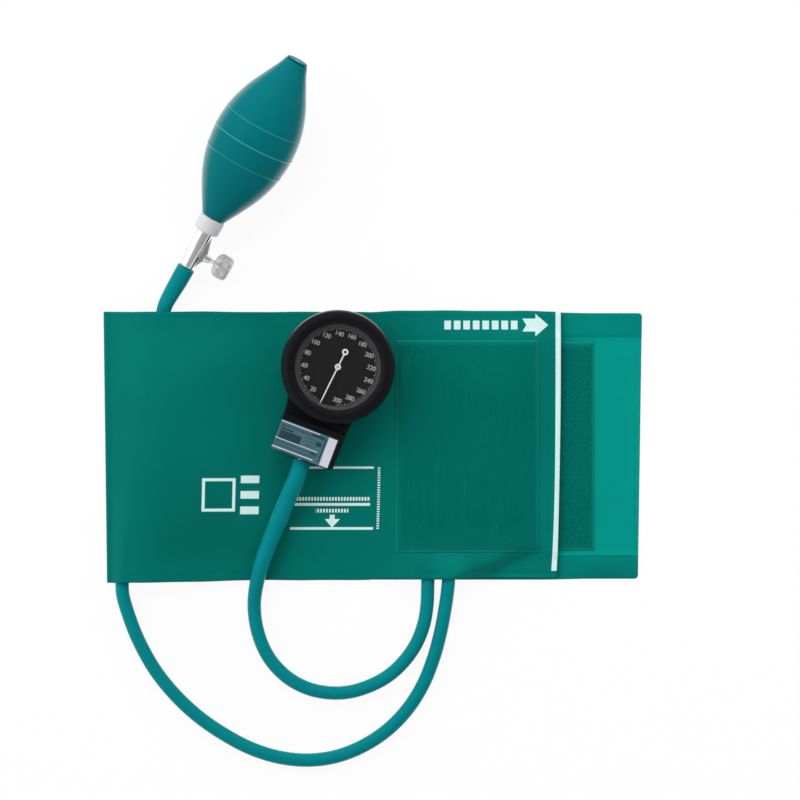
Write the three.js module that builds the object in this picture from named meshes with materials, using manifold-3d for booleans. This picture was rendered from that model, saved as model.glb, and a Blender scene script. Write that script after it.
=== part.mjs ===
// Aneroid sphygmomanometer laid flat, with its cuff folded in two.
// Millimetres, +Z up. The origin is the middle of the folded cuff, on the surface that it lies on;
// +X runs along the cuff from the fold to the tail's end, +Y towards the bulb.
import * as THREE from 'three';
import { mergeVertices } from 'three/addons/utils/BufferGeometryUtils.js';
import Module from 'manifold-3d';

const wasm = await Module();
wasm.setup();

// Clearances
const GAP = 0.3; // between pieces that touch
const RUNNING = 0.2; // round a shaft in its bore
const MESHING = 0.1; // taken off each side of a gear tooth

// Cuff: one long cloth, folded under at its left edge
const CUFF_WIDTH = 145; // along Y, hem to hem
const TOP_LENGTH = 246; // bladder section, from the fold to its sewn end
const TAIL_LENGTH = 289; // tail, from the fold to its free end
const CLOTH = 0.6;
const HEM_WIDTH = 12;
const HEM_RISE = 0.7;
const FOLD_RADIUS = 1.9; // outside of the fold
const TAIL_CORNER = 4;
const HOOK_SIZE = [50, 113];
const HOOK_THICK = 1.5;
const HOOK_INSET = 24.6; // from the tail's free end
const LOOP_SIZE = [77.4, 114.7];
const LOOP_THICK = 1.0;
const LOOP_INSET = 11.9; // from the bladder section's sewn end
const PATCH_CORNER = 2;
const PATCH_FADE = 7; // the cloth slopes down this far round what lies under it

// Bladder
const BLADDER_SIZE = [220, 120];
const BLADDER_THICK = 1.8;
const BLADDER_INSET = 10; // from the bladder section's sewn end
const BLADDER_CORNER = 8;
const BLADDER_FADE = 8;
const NECK_ROOT_R = 1;
const NECK_LENGTH = 20;
const NECK_END = 67.5; // Y distance of a neck's mouth from the middle of the cuff

// Hoses
const HOSE_D = 7;
const HOSE_SIDES = 10;
const GAUGE_HOSE_X = 29.7; // where each hose leaves the cuff's lower edge
const BULB_HOSE_X = 41;
const HIDDEN_HOSE_IN = 8.5; // the bulb hose lies in the fold, this far in at the lower edge
const HIDDEN_HOSE_OUT = 31.6; // and this far in at the upper edge
const HUMP_RUN = 70; // the cloth comes down again over this length
const MOUTH_WIDTH = 26;
const MOUTH_FADE = 11;
const MOUTH_FLAT = 64; // Y distance at which the swelling over the hoses starts to fall
const MOUTH_LENGTH = 28;

// Gauge: turned on its axis, its neck pointing down and to the left
const GAUGE_X = -18.7;
const GAUGE_Y = 42.6;
const GAUGE_TURN = -20.8; // degrees
const ROUND_SIDES = 48; // facets round the case
const CASE_R = 31.2;
const CASE_BACK_ROUND = 4.7; // the back's flat ends this far inside the case's side
const CASE_SHOULDER = 14.5; // height of the case's side
const CASE_FLOOR = 2;
const CASE_WALL = 5.7;
const FLOOR_FILLET = 1.5;
const COLLAR_WALL = 2.5; // the collar that the crystal lies on
const COLLAR_TOP = 18.6;
const RIM_OVERLAP = 4.2; // the front ring reaches this far in over the crystal
const GASKET_THICK = 0.6;
const CRYSTAL_THICK = 1.6;
const LIP_THICK = 1.9;
const RING_STRAIGHT = [1.9, 3.9]; // the ring's side is widest between these heights over the case's side

// Neck block, with the hose nipple at its end
const NECK_HALF = 18.6;
const NECK_ROOT_HALF = 24;
const NECK_ROOT_Y = 20;
const NECK_NEAR = 33;
const NECK_FLARE = 4;
const NECK_FAR = 53.5;
const NECK_CORNER = 2.5;
const NECK_BOTTOM = 2.2;
const NECK_TOP = 12;
const PAD_NEAR = 36;
const PAD_TOP = 17.5;
const NIPPLE_Z = 9.5;
const NIPPLE_R = 3.4;
const NIPPLE_OUT = 2;
const NIPPLE_IN = 6;
const NIPPLE_BORE_R = 1.2;

// Gauge movement
const CAPSULE_R = 15;
const CAPSULE_THICK = 3;
const CAPSULE_FOOT = 0.7;
const CAPSULE_FOOT_R = 4;
const PAD_R = 2.2;
const PAD_THICK = 0.3;
const PAD_TIP_R = 0.6;
const PAD_TIP = 0.4;
const ROCKER_Y = -6; // the rocker shaft's place, from the capsule's axis
const ROCKER_R = 0.8;
const ROCKER_ENDS = [-16.4, 3.2];
const ROCKER_ARM_THICK = 0.8;
const ROCKER_ARM_WIDTH = 2.2;
const ROCKER_ARM_PAST = 0.8; // beyond the capsule's axis
const FINGER_LEVER = 1.75; // from the sector's pivot to the finger
const FINGER_R = 0.5;
const FINGER_SWEEP = 1.3; // room that the finger needs in the base plate
const BASE_PLATE_Z = 10.2;
const TOP_PLATE_Z = 14.3;
const MOVEMENT_PLATE = 0.8;
const MOVEMENT_R = 20.5;
const BEARING_WIDTH = 3.2;
const BEARING_THICK = 1.2;
const BEARING_DROP = 3.5;
const POST_R = 1.6;
const POST_CIRCLE = 18.3;
const POST_ANGLES = [120, 235, 0];
const WINDOW_CIRCLE = 12.5; // lightening holes of the top plate
const LIGHTENING_R = 4;
const LIGHTENING_ANGLES = [60, 290, 340];
const GEAR_MODULE = 0.3;
const TOOTH_ROOT = 1.15; // in modules, from the pitch circle
const TOOTH_TIP = 0.75;
const PRESSURE_ANGLE = 20;
const PINION_TEETH = 10;
const SECTOR_TEETH = 84; // of the whole circle that the sector is cut from
const SECTOR_CUT = 15; // teeth that it keeps
const PINION_OVERHANG = 0.2; // each side of the sector
const GEAR_THICK = 0.8;
const SECTOR_REST = 11.5; // tooth space that meets the pinion at rest
const SECTOR_HUB_R = 1.2;
const SECTOR_HUB = 1.6;
const SECTOR_RIM = 1.6;
const SECTOR_TAIL = 2.6;
const SECTOR_TAIL_HALF = 0.5;
const SECTOR_SPOKE_HALF = 1;
const STAFF_R = 0.7;
const HAIRSPRING_IN = 2;
const HAIRSPRING_OUT = 5.4;
const HAIRSPRING_TURNS = 4;
const HAIRSPRING_WIRE = 0.25;
const HAIRSPRING_HIGH = 0.5;
const COLLET_R = 1.6;
const STUD_R = 0.5;

// Dial and pointer
const DIAL_Z = 16.1;
const DIAL_CLEARANCE = 0.4;
const DIAL_THICK = 0.6;
const DIAL_BORE_R = 1.1;
const DIAL_FOOT_R = 1.2;
const DIAL_FOOT_CIRCLE = 9;
const POINTER_Z = 17.5;
const POINTER_THICK = 0.4;
const POINTER_INSET = 2.8; // from the dial's edge
const POINTER_TAIL = 10.6;
const POINTER_WIDTH = 0.8;
const POINTER_HUB_R = 1.6;
const POINTER_RING_R = 1.7;
const POINTER_RING_BORE = 0.8;
const SCALE_ZERO = -174.5; // degrees clockwise from the far side of the neck to the zero mark

// Clip on the gauge's back
const CLIP_THICK = 0.8;
const CLIP_SLOT = 2.1;
const CLIP_WIDTH = 16;
const CLIP_FOOT_HALF = 4.5; // each side of the rivets, along the neck's line
const CLIP_BEND = 3;
const CLIP_TIP = -22;
const CLIP_LIFT = 0.9; // the tip turns up towards the case
const RIVET_R = 1.5;
const RIVET_HEAD_R = 2.3;
const RIVET_HEAD = 0.5;
const RIVET_X = 4;
const RIVET_INSET = 5; // from the case's wall

// Bulb, lying on its belly with its valve end low
const BULB_TURN = 61; // degrees, from +X to the bulb's axis
const BULB_PITCH = 12;
const BULB_LENGTH = 96;
const BULB_R = 23;
const BULB_WALL = 2;
const BULB_SIDES = 28;
const BULB_BORE_R = 4;
const BULB_FRONT_X = -86; // where the bulb's front end lies, seen from above
const BULB_FRONT_Y = 123.5;

// Collar and valve body, in front of the bulb
const COLLAR_LENGTH = 7;
const PLASTIC_COLLAR_R = 7;
const VALVE_LENGTH = 24;
const VALVE_FRONT_R = 4;
const VALVE_BACK_R = 4.9;
const VALVE_TAPER = 13.2; // length of the tapered part
const CHAMBER_END = 1; // wall between the chamber and the collar
const CHAMBER_R = 2.6;
const CHAMBER_START = 6;
const AIR_WAY_R = 1.2;
const SPIGOT_R = 3.4;
const SPIGOT_LENGTH = 13;
const BOSS_AT = 9.4; // from the hose end
const BOSS_R = 3.3;
const BOSS_ROOT_R = 4.2;
const BOSS_OUT = 8.6; // from the valve's axis
const SCREW_R = 1.35;
const SCREW_TIP_AT = 3.6; // the rubber tip's distance from the valve's axis
const VENT_R = 0.6;
const VENT_OUT = 6.4;
const KNOB_NEAR = 12.2;
const KNOB_THICK = 8.6;
const KNOB_R = 6.3;
const KNOB_LOBES = 8;
const KNOB_LOBE_R = 1.5;
const TIP_LENGTH = 0.8;
const BALL_R = 1.8;
const RETAINER_R = 2.3;
const RETAINER_LENGTH = 3;
const RETAINER_AT = 15.6; // from the hose end
const RETAINER_BORE_R = 1;
const INTAKE_R = 3.7;
const INTAKE_LENGTH = 9;
const INTAKE_FLANGE = 1;
const INTAKE_FLANGE_R = 5.2;
const INTAKE_CHAMBER = 5;
const INTAKE_SEAT_R = 1.3;
const SCREEN_DEPTH = 1.2;
const DISC_R = 2.2;
const DISC_THICK = 0.7;
const SCREEN_THICK = 0.5;

// Finishes
const TEAL_CLOTH = { color: 0x016d62, roughness: 0.78, metalness: 0 };
const TEAL_TAIL = { color: 0x02857a, roughness: 0.78, metalness: 0 };
const TEAL_PILE = { color: 0x036a5c, roughness: 0.95, metalness: 0 };
const TEAL_HOOK = { color: 0x01665d, roughness: 0.9, metalness: 0 };
const TEAL_HOSE = { color: 0x088584, roughness: 0.35, metalness: 0 };
const TEAL_BULB = { color: 0x0d7a7b, roughness: 0.3, metalness: 0 };
const BLACK_PLASTIC = { color: 0x1e1c20, roughness: 0.4, metalness: 0 };
const DIAL_BLACK = { color: 0x101012, roughness: 0.6, metalness: 0 };
const WHITE_PAINT = { color: 0xf0f0ee, roughness: 0.5, metalness: 0 };
const CLEAR = { color: 0xffffff, roughness: 0.05, metalness: 0 };
const BRASS = { color: 0xb08d4a, roughness: 0.35, metalness: 1 };
const STEEL = { color: 0xb4b4b4, roughness: 0.35, metalness: 1 };
const CHROME = { color: 0xd4d4d4, roughness: 0.12, metalness: 1 };
const GREY_PLASTIC = { color: 0xc1c0c5, roughness: 0.45, metalness: 0 };
const DARK_RUBBER = { color: 0x2a2a2c, roughness: 0.7, metalness: 0 };

const radians = THREE.MathUtils.degToRad;
const smooth = (t) => THREE.MathUtils.smoothstep(t, 0, 1);

// Solids
function weld(geometry) {
  const bare = geometry.clone();
  bare.deleteAttribute('normal');
  bare.deleteAttribute('uv');
  const merged = mergeVertices(bare, 1e-4);
  const kept = [];
  const index = merged.index.array;
  for (let i = 0; i < index.length; i += 3) {
    const [a, b, c] = [index[i], index[i + 1], index[i + 2]];
    if (a !== b && b !== c && a !== c) kept.push(a, b, c);
  }
  merged.setIndex(kept);
  return merged;
}

function toSolid(geometry) {
  const merged = weld(geometry);
  return new wasm.Manifold(new wasm.Mesh({
    numProp: 3,
    vertProperties: new Float32Array(merged.attributes.position.array),
    triVerts: new Uint32Array(merged.index.array),
  }));
}

function toGeometry(body) {
  const mesh = body.getMesh();
  const geometry = new THREE.BufferGeometry();
  geometry.setAttribute('position', new THREE.BufferAttribute(new Float32Array(mesh.vertProperties), 3));
  geometry.setIndex(Array.from(mesh.triVerts));
  return geometry;
}

function join(first, ...others) {
  return toGeometry(others.reduce((sum, other) => sum.add(toSolid(other)), toSolid(first)));
}

function cut(first, ...others) {
  return toGeometry(others.reduce((rest, other) => rest.subtract(toSolid(other)), toSolid(first)));
}

function piece(parent, name, geometry, finish) {
  const shown = weld(geometry);
  shown.computeVertexNormals();
  const mesh = new THREE.Mesh(shown, new THREE.MeshStandardMaterial(finish));
  mesh.name = name;
  parent.add(mesh);
  return mesh;
}

// A body turned about Z from a closed outline of [radius, height] points
function turned(outline, sides = 48) {
  const points = outline.map(([r, z]) => new THREE.Vector2(r, z));
  if (THREE.ShapeUtils.area(points) < 0) points.reverse();
  points.push(points[0].clone());
  return new THREE.LatheGeometry(points, sides).rotateX(Math.PI / 2);
}

// A round bar along Z from low to high
function bar(radius, low, high, sides = 24, farRadius = radius) {
  const geometry = new THREE.CylinderGeometry(farRadius, radius, high - low, sides);
  return geometry.rotateX(Math.PI / 2).translate(0, 0, (low + high) / 2);
}

// A plate of the outline's shape from low to high
function plate(outline, low, high) {
  const options = { depth: high - low, bevelEnabled: false, curveSegments: 5 };
  return new THREE.ExtrudeGeometry(outline, options).translate(0, 0, low);
}

function block(size, centre) {
  return new THREE.BoxGeometry(...size).translate(...centre);
}

function roundedRectangle(x0, y0, x1, y1, radius) {
  const shape = new THREE.Shape();
  shape.moveTo(x0 + radius, y0);
  shape.lineTo(x1 - radius, y0);
  shape.absarc(x1 - radius, y0 + radius, radius, -Math.PI / 2, 0);
  shape.lineTo(x1, y1 - radius);
  shape.absarc(x1 - radius, y1 - radius, radius, 0, Math.PI / 2);
  shape.lineTo(x0 + radius, y1);
  shape.absarc(x0 + radius, y1 - radius, radius, Math.PI / 2, Math.PI);
  shape.lineTo(x0, y0 + radius);
  shape.absarc(x0 + radius, y0 + radius, radius, Math.PI, 1.5 * Math.PI);
  return shape;
}

// A closed sheet over a grid: at(i, j) gives [x, y], under and over give its two heights there
function sheet(columns, rows, at, under, over) {
  const positions = [];
  for (const height of [under, over]) {
    for (let j = 0; j < rows; j += 1) {
      for (let i = 0; i < columns; i += 1) {
        const [x, y] = at(i, j);
        positions.push(x, y, height(x, y));
      }
    }
  }
  const layer = columns * rows;
  const index = [];
  const quad = (a, b, c, d) => index.push(a, b, c, a, c, d);
  for (let j = 0; j < rows - 1; j += 1) {
    for (let i = 0; i < columns - 1; i += 1) {
      const a = j * columns + i;
      const b = a + 1;
      const c = b + columns;
      const d = a + columns;
      quad(a, d, c, b);
      quad(layer + a, layer + b, layer + c, layer + d);
    }
  }
  const wall = (a, b) => quad(a, b, layer + b, layer + a);
  for (let i = 0; i < columns - 1; i += 1) {
    wall(i, i + 1);
    wall((rows - 1) * columns + i + 1, (rows - 1) * columns + i);
  }
  for (let j = 0; j < rows - 1; j += 1) {
    wall((j + 1) * columns, j * columns);
    wall(j * columns + columns - 1, (j + 1) * columns + columns - 1);
  }
  const geometry = new THREE.BufferGeometry();
  geometry.setAttribute('position', new THREE.Float32BufferAttribute(positions, 3));
  geometry.setIndex(index);
  return geometry;
}

// Levels of the folded cuff
const FOLD_X = -TAIL_LENGTH / 2;
const FOLD_AXIS_X = FOLD_X + FOLD_RADIUS;
const EDGE_Y = CUFF_WIDTH / 2;
const SEWN_X = FOLD_X + TOP_LENGTH;
const TAIL_X = FOLD_X + TAIL_LENGTH;
const HOSE_R = HOSE_D / 2;
const HEM_TOP = CLOTH + HEM_RISE;
const HOOK_RIGHT = TAIL_X - HOOK_INSET;
const HOOK_LEFT = HOOK_RIGHT - HOOK_SIZE[0];
const HOOK_LOW = CLOTH + GAP;
const HOOK_RISE = HOOK_LOW + HOOK_THICK - HEM_TOP;
const LOOP_RIGHT = SEWN_X - LOOP_INSET;
const LOOP_LEFT = LOOP_RIGHT - LOOP_SIZE[0];
const HUMP_RISE = HOSE_D + 3 * GAP;
const MOUTH_HOSE_Z = HEM_TOP + GAP + CLOTH + GAP + HOSE_R;
const MOUTH_X = (GAUGE_HOSE_X + BULB_HOSE_X) / 2;
const BLADDER_RIGHT = SEWN_X - BLADDER_INSET;
const BLADDER_LEFT = BLADDER_RIGHT - BLADDER_SIZE[0];
const HOOK_Y = HOOK_SIZE[1] / 2;
const BLADDER_Y = BLADDER_SIZE[1] / 2;

// How far (x, y) lies inside a centred band, as 1 inside, falling to 0 over fade
function within(value, low, high, fade) {
  return smooth(1 + Math.min(value - low, high - value) / fade);
}

// Where the hidden stretch of the bulb hose lies at y
function hiddenHoseX(y) {
  const share = (y + EDGE_Y) / CUFF_WIDTH;
  return FOLD_X + THREE.MathUtils.lerp(HIDDEN_HOSE_IN, HIDDEN_HOSE_OUT, share);
}

function humpShare(x, y) {
  const crest = hiddenHoseX(y);
  const start = FOLD_AXIS_X + GAP;
  if (x < crest) return Math.sin((Math.PI / 2) * THREE.MathUtils.clamp((x - start) / (crest - start), 0, 1));
  return 1 - smooth((x - crest) / HUMP_RUN);
}

function liningLow(x, y) {
  const overHook = within(x, HOOK_LEFT, TAIL_X, PATCH_FADE) * within(y, -HOOK_Y, HOOK_Y, PATCH_FADE);
  return HEM_TOP + GAP + HUMP_RISE * humpShare(x, y) + HOOK_RISE * overHook;
}

function liningTop(x, y) {
  return liningLow(x, y) + CLOTH;
}

function outerLow(x, y) {
  const overBladder = within(x, BLADDER_LEFT - BLADDER_FADE, BLADDER_RIGHT, BLADDER_FADE)
    * within(y, -BLADDER_Y, BLADDER_Y, BLADDER_FADE);
  const plain = liningTop(x, y) + GAP + (BLADDER_THICK + GAP) * overBladder;
  const foldShare = 1 - smooth((x - FOLD_AXIS_X) / PATCH_FADE);
  const folded = Math.max(plain, THREE.MathUtils.lerp(plain, 2 * FOLD_RADIUS - CLOTH, foldShare));
  const mouthShare = within(x, MOUTH_X - MOUTH_WIDTH / 2, MOUTH_X + MOUTH_WIDTH / 2, MOUTH_FADE)
    * (1 - smooth((y + MOUTH_FLAT) / MOUTH_LENGTH));
  return THREE.MathUtils.lerp(folded, MOUTH_HOSE_Z + HOSE_R + GAP, mouthShare);
}

function outerTop(x, y) {
  return outerLow(x, y) + CLOTH;
}

// Grid lines of the bladder section: shares of the way from the fold to the hump's crest, then places in X
const HUMP_SHARES = [0, 0.3, 0.55, 0.8, 1];
const CLEAR_OF_HUMP = -98;
const MOUTH_STEPS = [-24, -13, -5.7, 0, 5.7, 13, 24];
const PLAIN_COLUMNS = [-98, -82, -66, -48, -24, -2];
const END_COLUMNS = [HOOK_LEFT - PATCH_FADE, HOOK_LEFT, BLADDER_RIGHT, BLADDER_RIGHT + BLADDER_FADE, SEWN_X]
  .filter((x) => x > PLAIN_COLUMNS.at(-1) && x <= SEWN_X)
  .sort((a, b) => a - b);
const EDGE_ROWS = [HOOK_Y, BLADDER_Y, HOOK_Y + PATCH_FADE, BLADDER_Y + BLADDER_FADE, EDGE_Y];
const LOWER_ROWS = [-46, -36, -12];
const UPPER_ROWS = [12, 34];
const PRISM_HEIGHT = 60;
const SECTION_ROWS = [...EDGE_ROWS.map((y) => -y).reverse(), ...LOWER_ROWS, ...UPPER_ROWS, ...EDGE_ROWS];

function sectionColumnsAt(y) {
  const start = FOLD_AXIS_X + GAP;
  const crest = hiddenHoseX(y);
  const rising = HUMP_SHARES.map((share) => THREE.MathUtils.lerp(start, crest, share));
  const falling = [0.35, 0.7].map((share) => THREE.MathUtils.lerp(crest, CLEAR_OF_HUMP, share));
  const mouth = MOUTH_STEPS.map((step) => MOUTH_X + step);
  return [...rising, ...falling, ...PLAIN_COLUMNS, ...mouth, ...END_COLUMNS];
}

function sectionSheet(low, high) {
  const columns = sectionColumnsAt(0).length;
  const at = (i, j) => [sectionColumnsAt(SECTION_ROWS[j])[i], SECTION_ROWS[j]];
  return sheet(columns, SECTION_ROWS.length, at, low, high);
}

// The part of such a sheet that lies inside an outline, seen from above
function sectionPatch(outline, low, high) {
  const prism = toSolid(plate(outline, 0, PRISM_HEIGHT));
  return toGeometry(toSolid(sectionSheet(low, high)).intersect(prism));
}

function bladderNeck(x) {
  const rise = MOUTH_HOSE_Z - (liningTop(x, -NECK_END) + GAP + BLADDER_THICK / 2);
  const cone = bar(HOSE_R, 0, NECK_LENGTH, 16, NECK_ROOT_R);
  cone.rotateX(-Math.PI / 2).rotateX(-Math.atan2(rise, NECK_LENGTH));
  return cone.translate(x, -NECK_END, MOUTH_HOSE_Z);
}

function buildCuff(parent) {
  const cuff = new THREE.Group();
  parent.add(cuff);

  const tailOutline = new THREE.Shape();
  const tailStart = FOLD_AXIS_X + GAP;
  tailOutline.moveTo(tailStart, -EDGE_Y);
  tailOutline.lineTo(TAIL_X - TAIL_CORNER, -EDGE_Y);
  tailOutline.absarc(TAIL_X - TAIL_CORNER, -EDGE_Y + TAIL_CORNER, TAIL_CORNER, -Math.PI / 2, 0);
  tailOutline.absarc(TAIL_X - TAIL_CORNER, EDGE_Y - TAIL_CORNER, TAIL_CORNER, 0, Math.PI / 2);
  tailOutline.lineTo(tailStart, EDGE_Y);
  tailOutline.closePath();
  const hems = [-1, 1].map((side) => {
    const inner = side * (EDGE_Y - HEM_WIDTH);
    const outer = side * EDGE_Y;
    const [low, high] = [Math.min(inner, outer), Math.max(inner, outer)];
    const hem = new THREE.Shape();
    hem.moveTo(tailStart, low);
    hem.lineTo(TAIL_X - TAIL_CORNER, low);
    hem.lineTo(TAIL_X - TAIL_CORNER, high);
    hem.lineTo(tailStart, high);
    return plate(hem, CLOTH / 2, HEM_TOP);
  });
  piece(cuff, 'cuff_tail', join(plate(tailOutline, 0, CLOTH), ...hems), TEAL_TAIL);

  const hook = roundedRectangle(HOOK_LEFT, -HOOK_Y, HOOK_RIGHT, HOOK_Y, PATCH_CORNER);
  piece(cuff, 'hook_patch', plate(hook, HOOK_LOW, HOOK_LOW + HOOK_THICK), TEAL_HOOK);

  const fold = new THREE.Shape();
  fold.absarc(0, 0, FOLD_RADIUS, Math.PI / 2, 1.5 * Math.PI);
  fold.absarc(0, 0, FOLD_RADIUS - CLOTH, 1.5 * Math.PI, Math.PI / 2, true);
  const along = { depth: CUFF_WIDTH, bevelEnabled: false, curveSegments: 10 };
  const strip = new THREE.ExtrudeGeometry(fold, along);
  strip.rotateX(Math.PI / 2).translate(FOLD_AXIS_X, EDGE_Y, FOLD_RADIUS);
  piece(cuff, 'cuff_fold', strip, TEAL_CLOTH);

  piece(cuff, 'cuff_lining', sectionSheet(liningLow, liningTop), TEAL_CLOTH);
  piece(cuff, 'cuff_outer_cloth', sectionSheet(outerLow, outerTop), TEAL_CLOTH);

  const bladderLow = (x, y) => liningTop(x, y) + GAP;
  const bladderHigh = (x, y) => bladderLow(x, y) + BLADDER_THICK;
  const outline = roundedRectangle(BLADDER_LEFT, -BLADDER_Y, BLADDER_RIGHT, BLADDER_Y, BLADDER_CORNER);
  const bag = sectionPatch(outline, bladderLow, bladderHigh);
  piece(cuff, 'bladder', join(bag, bladderNeck(GAUGE_HOSE_X), bladderNeck(BULB_HOSE_X)), DARK_RUBBER);

  const loopLow = (x, y) => outerTop(x, y) + GAP;
  const loopHigh = (x, y) => loopLow(x, y) + LOOP_THICK;
  const loopY = LOOP_SIZE[1] / 2;
  const loopOutline = roundedRectangle(LOOP_LEFT, -loopY, LOOP_RIGHT, loopY, PATCH_CORNER);
  piece(cuff, 'loop_patch', sectionPatch(loopOutline, loopLow, loopHigh), TEAL_PILE);
}

// Hoses: points along each centre line
const ON_TABLE = HOSE_R;
const GAUGE_HOSE_ROUTE = [
  [29.7, -68.4, 6], [29.6, -76, 5.6], [29.2, -86, 4.2], [27.6, -96, ON_TABLE], [23, -106.8, ON_TABLE],
  [16, -116.5, ON_TABLE], [7, -124, ON_TABLE], [-4, -129.7, ON_TABLE], [-15, -132.7, ON_TABLE],
  [-27, -133, ON_TABLE], [-38, -130, ON_TABLE], [-48, -124, ON_TABLE], [-56.6, -114, ON_TABLE],
  [-62, -101, ON_TABLE], [-64.3, -87.6, 4.6], [-64, -76, 7.2], [-61.8, -64, 9.2], [-58.2, -52, 10],
  [-53, -39.5, 12], [-47.2, -27, 15], [-41.2, -16.6, 17.9], [-38.53, -9.56, 18.2],
];
const BULB_HOSE_ROUTE = [
  [41, -68.4, 6], [40.6, -76, 5.6], [39, -88, 4.2], [36.3, -102, ON_TABLE], [31.8, -115, ON_TABLE],
  [25.2, -128.5, ON_TABLE], [16.5, -141, ON_TABLE], [6, -152, ON_TABLE], [-6.5, -161.3, ON_TABLE],
  [-20.5, -167.5, ON_TABLE], [-35.5, -169.8, ON_TABLE], [-51, -168, ON_TABLE], [-66, -162.5, ON_TABLE],
  [-80, -155, ON_TABLE], [-93, -145.6, ON_TABLE], [-105, -134, ON_TABLE], [-115.5, -120, ON_TABLE],
  [-124.6, -104, ON_TABLE], [-131, -90, 4.2], [-134.8, -79, 5], [-135.4, -70, 5.1],
  [-132.4, -50, 5.1], [-128.4, -25, 5.1], [-124.5, 0, 5.1], [-120.5, 25, 5.1], [-116.8, 48, 5.1],
  [-114.3, 64, 5.1], [-111.6, 75.5, 5.1], [-108.4, 83.1, 5.2], [-104.64, 89.9, 6.04], [-100.84, 96.72, 7.7],
];

function hose(route, steps) {
  const points = route.map((point) => new THREE.Vector3(...point));
  const curve = new THREE.CatmullRomCurve3(points, false, 'centripetal');
  curve.arcLengthDivisions = 800;
  const section = new THREE.Shape();
  for (let i = 0; i < HOSE_SIDES; i += 1) {
    const turn = (i / HOSE_SIDES) * 2 * Math.PI;
    const [x, y] = [HOSE_R * Math.cos(turn), HOSE_R * Math.sin(turn)];
    if (i === 0) section.moveTo(x, y);
    else section.lineTo(x, y);
  }
  const options = { steps, extrudePath: curve, bevelEnabled: false };
  return new THREE.ExtrudeGeometry(section, options);
}

// Heights in the gauge, over the case's back
const CRYSTAL_Z = COLLAR_TOP + GAP + GASKET_THICK + GAP;
const LIP_Z = CRYSTAL_Z + CRYSTAL_THICK + GAP;
const RING_SIDE = RING_STRAIGHT.map((rise) => CASE_SHOULDER + rise);
const CASE_WALL_R = CASE_R - CASE_WALL;
const CASE_BACK_R = CASE_R - CASE_BACK_ROUND;
const COLLAR_R = CASE_WALL_R + COLLAR_WALL;
const WINDOW_R = COLLAR_R - RIM_OVERLAP;
const DIAL_R = CASE_WALL_R - DIAL_CLEARANCE;
const POINTER_TIP = DIAL_R - POINTER_INSET;
const RIVET_Y = CASE_WALL_R - RIVET_INSET;
const CLIP_FOOT = [RIVET_Y - CLIP_FOOT_HALF, RIVET_Y + CLIP_FOOT_HALF];
const LEAF_TOP = -(CLIP_SLOT + GAP);
const LEAF_LOW = LEAF_TOP - CLIP_THICK;
// The gauge lies on the cloth, or on the loop patch where that reaches under its clip
const CLIP_REACH = Math.hypot(CLIP_WIDTH / 2, CLIP_FOOT[1]);
const UNDER_CLIP = GAUGE_X + CLIP_REACH > LOOP_LEFT ? GAP + LOOP_THICK : 0;
const GAUGE_Z = outerTop(GAUGE_X, GAUGE_Y) + UNDER_CLIP + GAP - LEAF_LOW;
const CAPSULE_LOW = CASE_FLOOR + GAP;
const PAD_LOW = CAPSULE_LOW + CAPSULE_FOOT + CAPSULE_THICK + GAP;
const ROCKER_Z = PAD_LOW + PAD_THICK + PAD_TIP + GAP + ROCKER_ARM_THICK / 2;
const GEAR_Z = BASE_PLATE_Z + MOVEMENT_PLATE + 0.8;
const GEAR_TOP = GEAR_Z + GEAR_THICK;
const HAIRSPRING_Z = GEAR_TOP + 0.6;

// Gears: the pinion turns at the gauge's axis, the sector beside it
const PINION_PITCH_R = (GEAR_MODULE * PINION_TEETH) / 2;
const SECTOR_PITCH_R = (GEAR_MODULE * SECTOR_TEETH) / 2;
const GEAR_CENTRES = PINION_PITCH_R + SECTOR_PITCH_R;
const SECTOR_Y = ROCKER_Y - FINGER_R - GAP - SECTOR_TAIL_HALF;
const SECTOR_X = -Math.sqrt(GEAR_CENTRES ** 2 - SECTOR_Y ** 2);
const SECTOR_FACING = Math.atan2(-SECTOR_Y, -SECTOR_X); // from the sector's pivot to the pinion
const FINGER_X = SECTOR_X - FINGER_LEVER;

function ring(innerR, outerR, low, high, sides) {
  return turned([[innerR, low], [outerR, low], [outerR, high], [innerR, high]], sides);
}

function onCircle(radius, degrees) {
  return [radius * Math.cos(radians(degrees)), radius * Math.sin(radians(degrees))];
}

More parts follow.
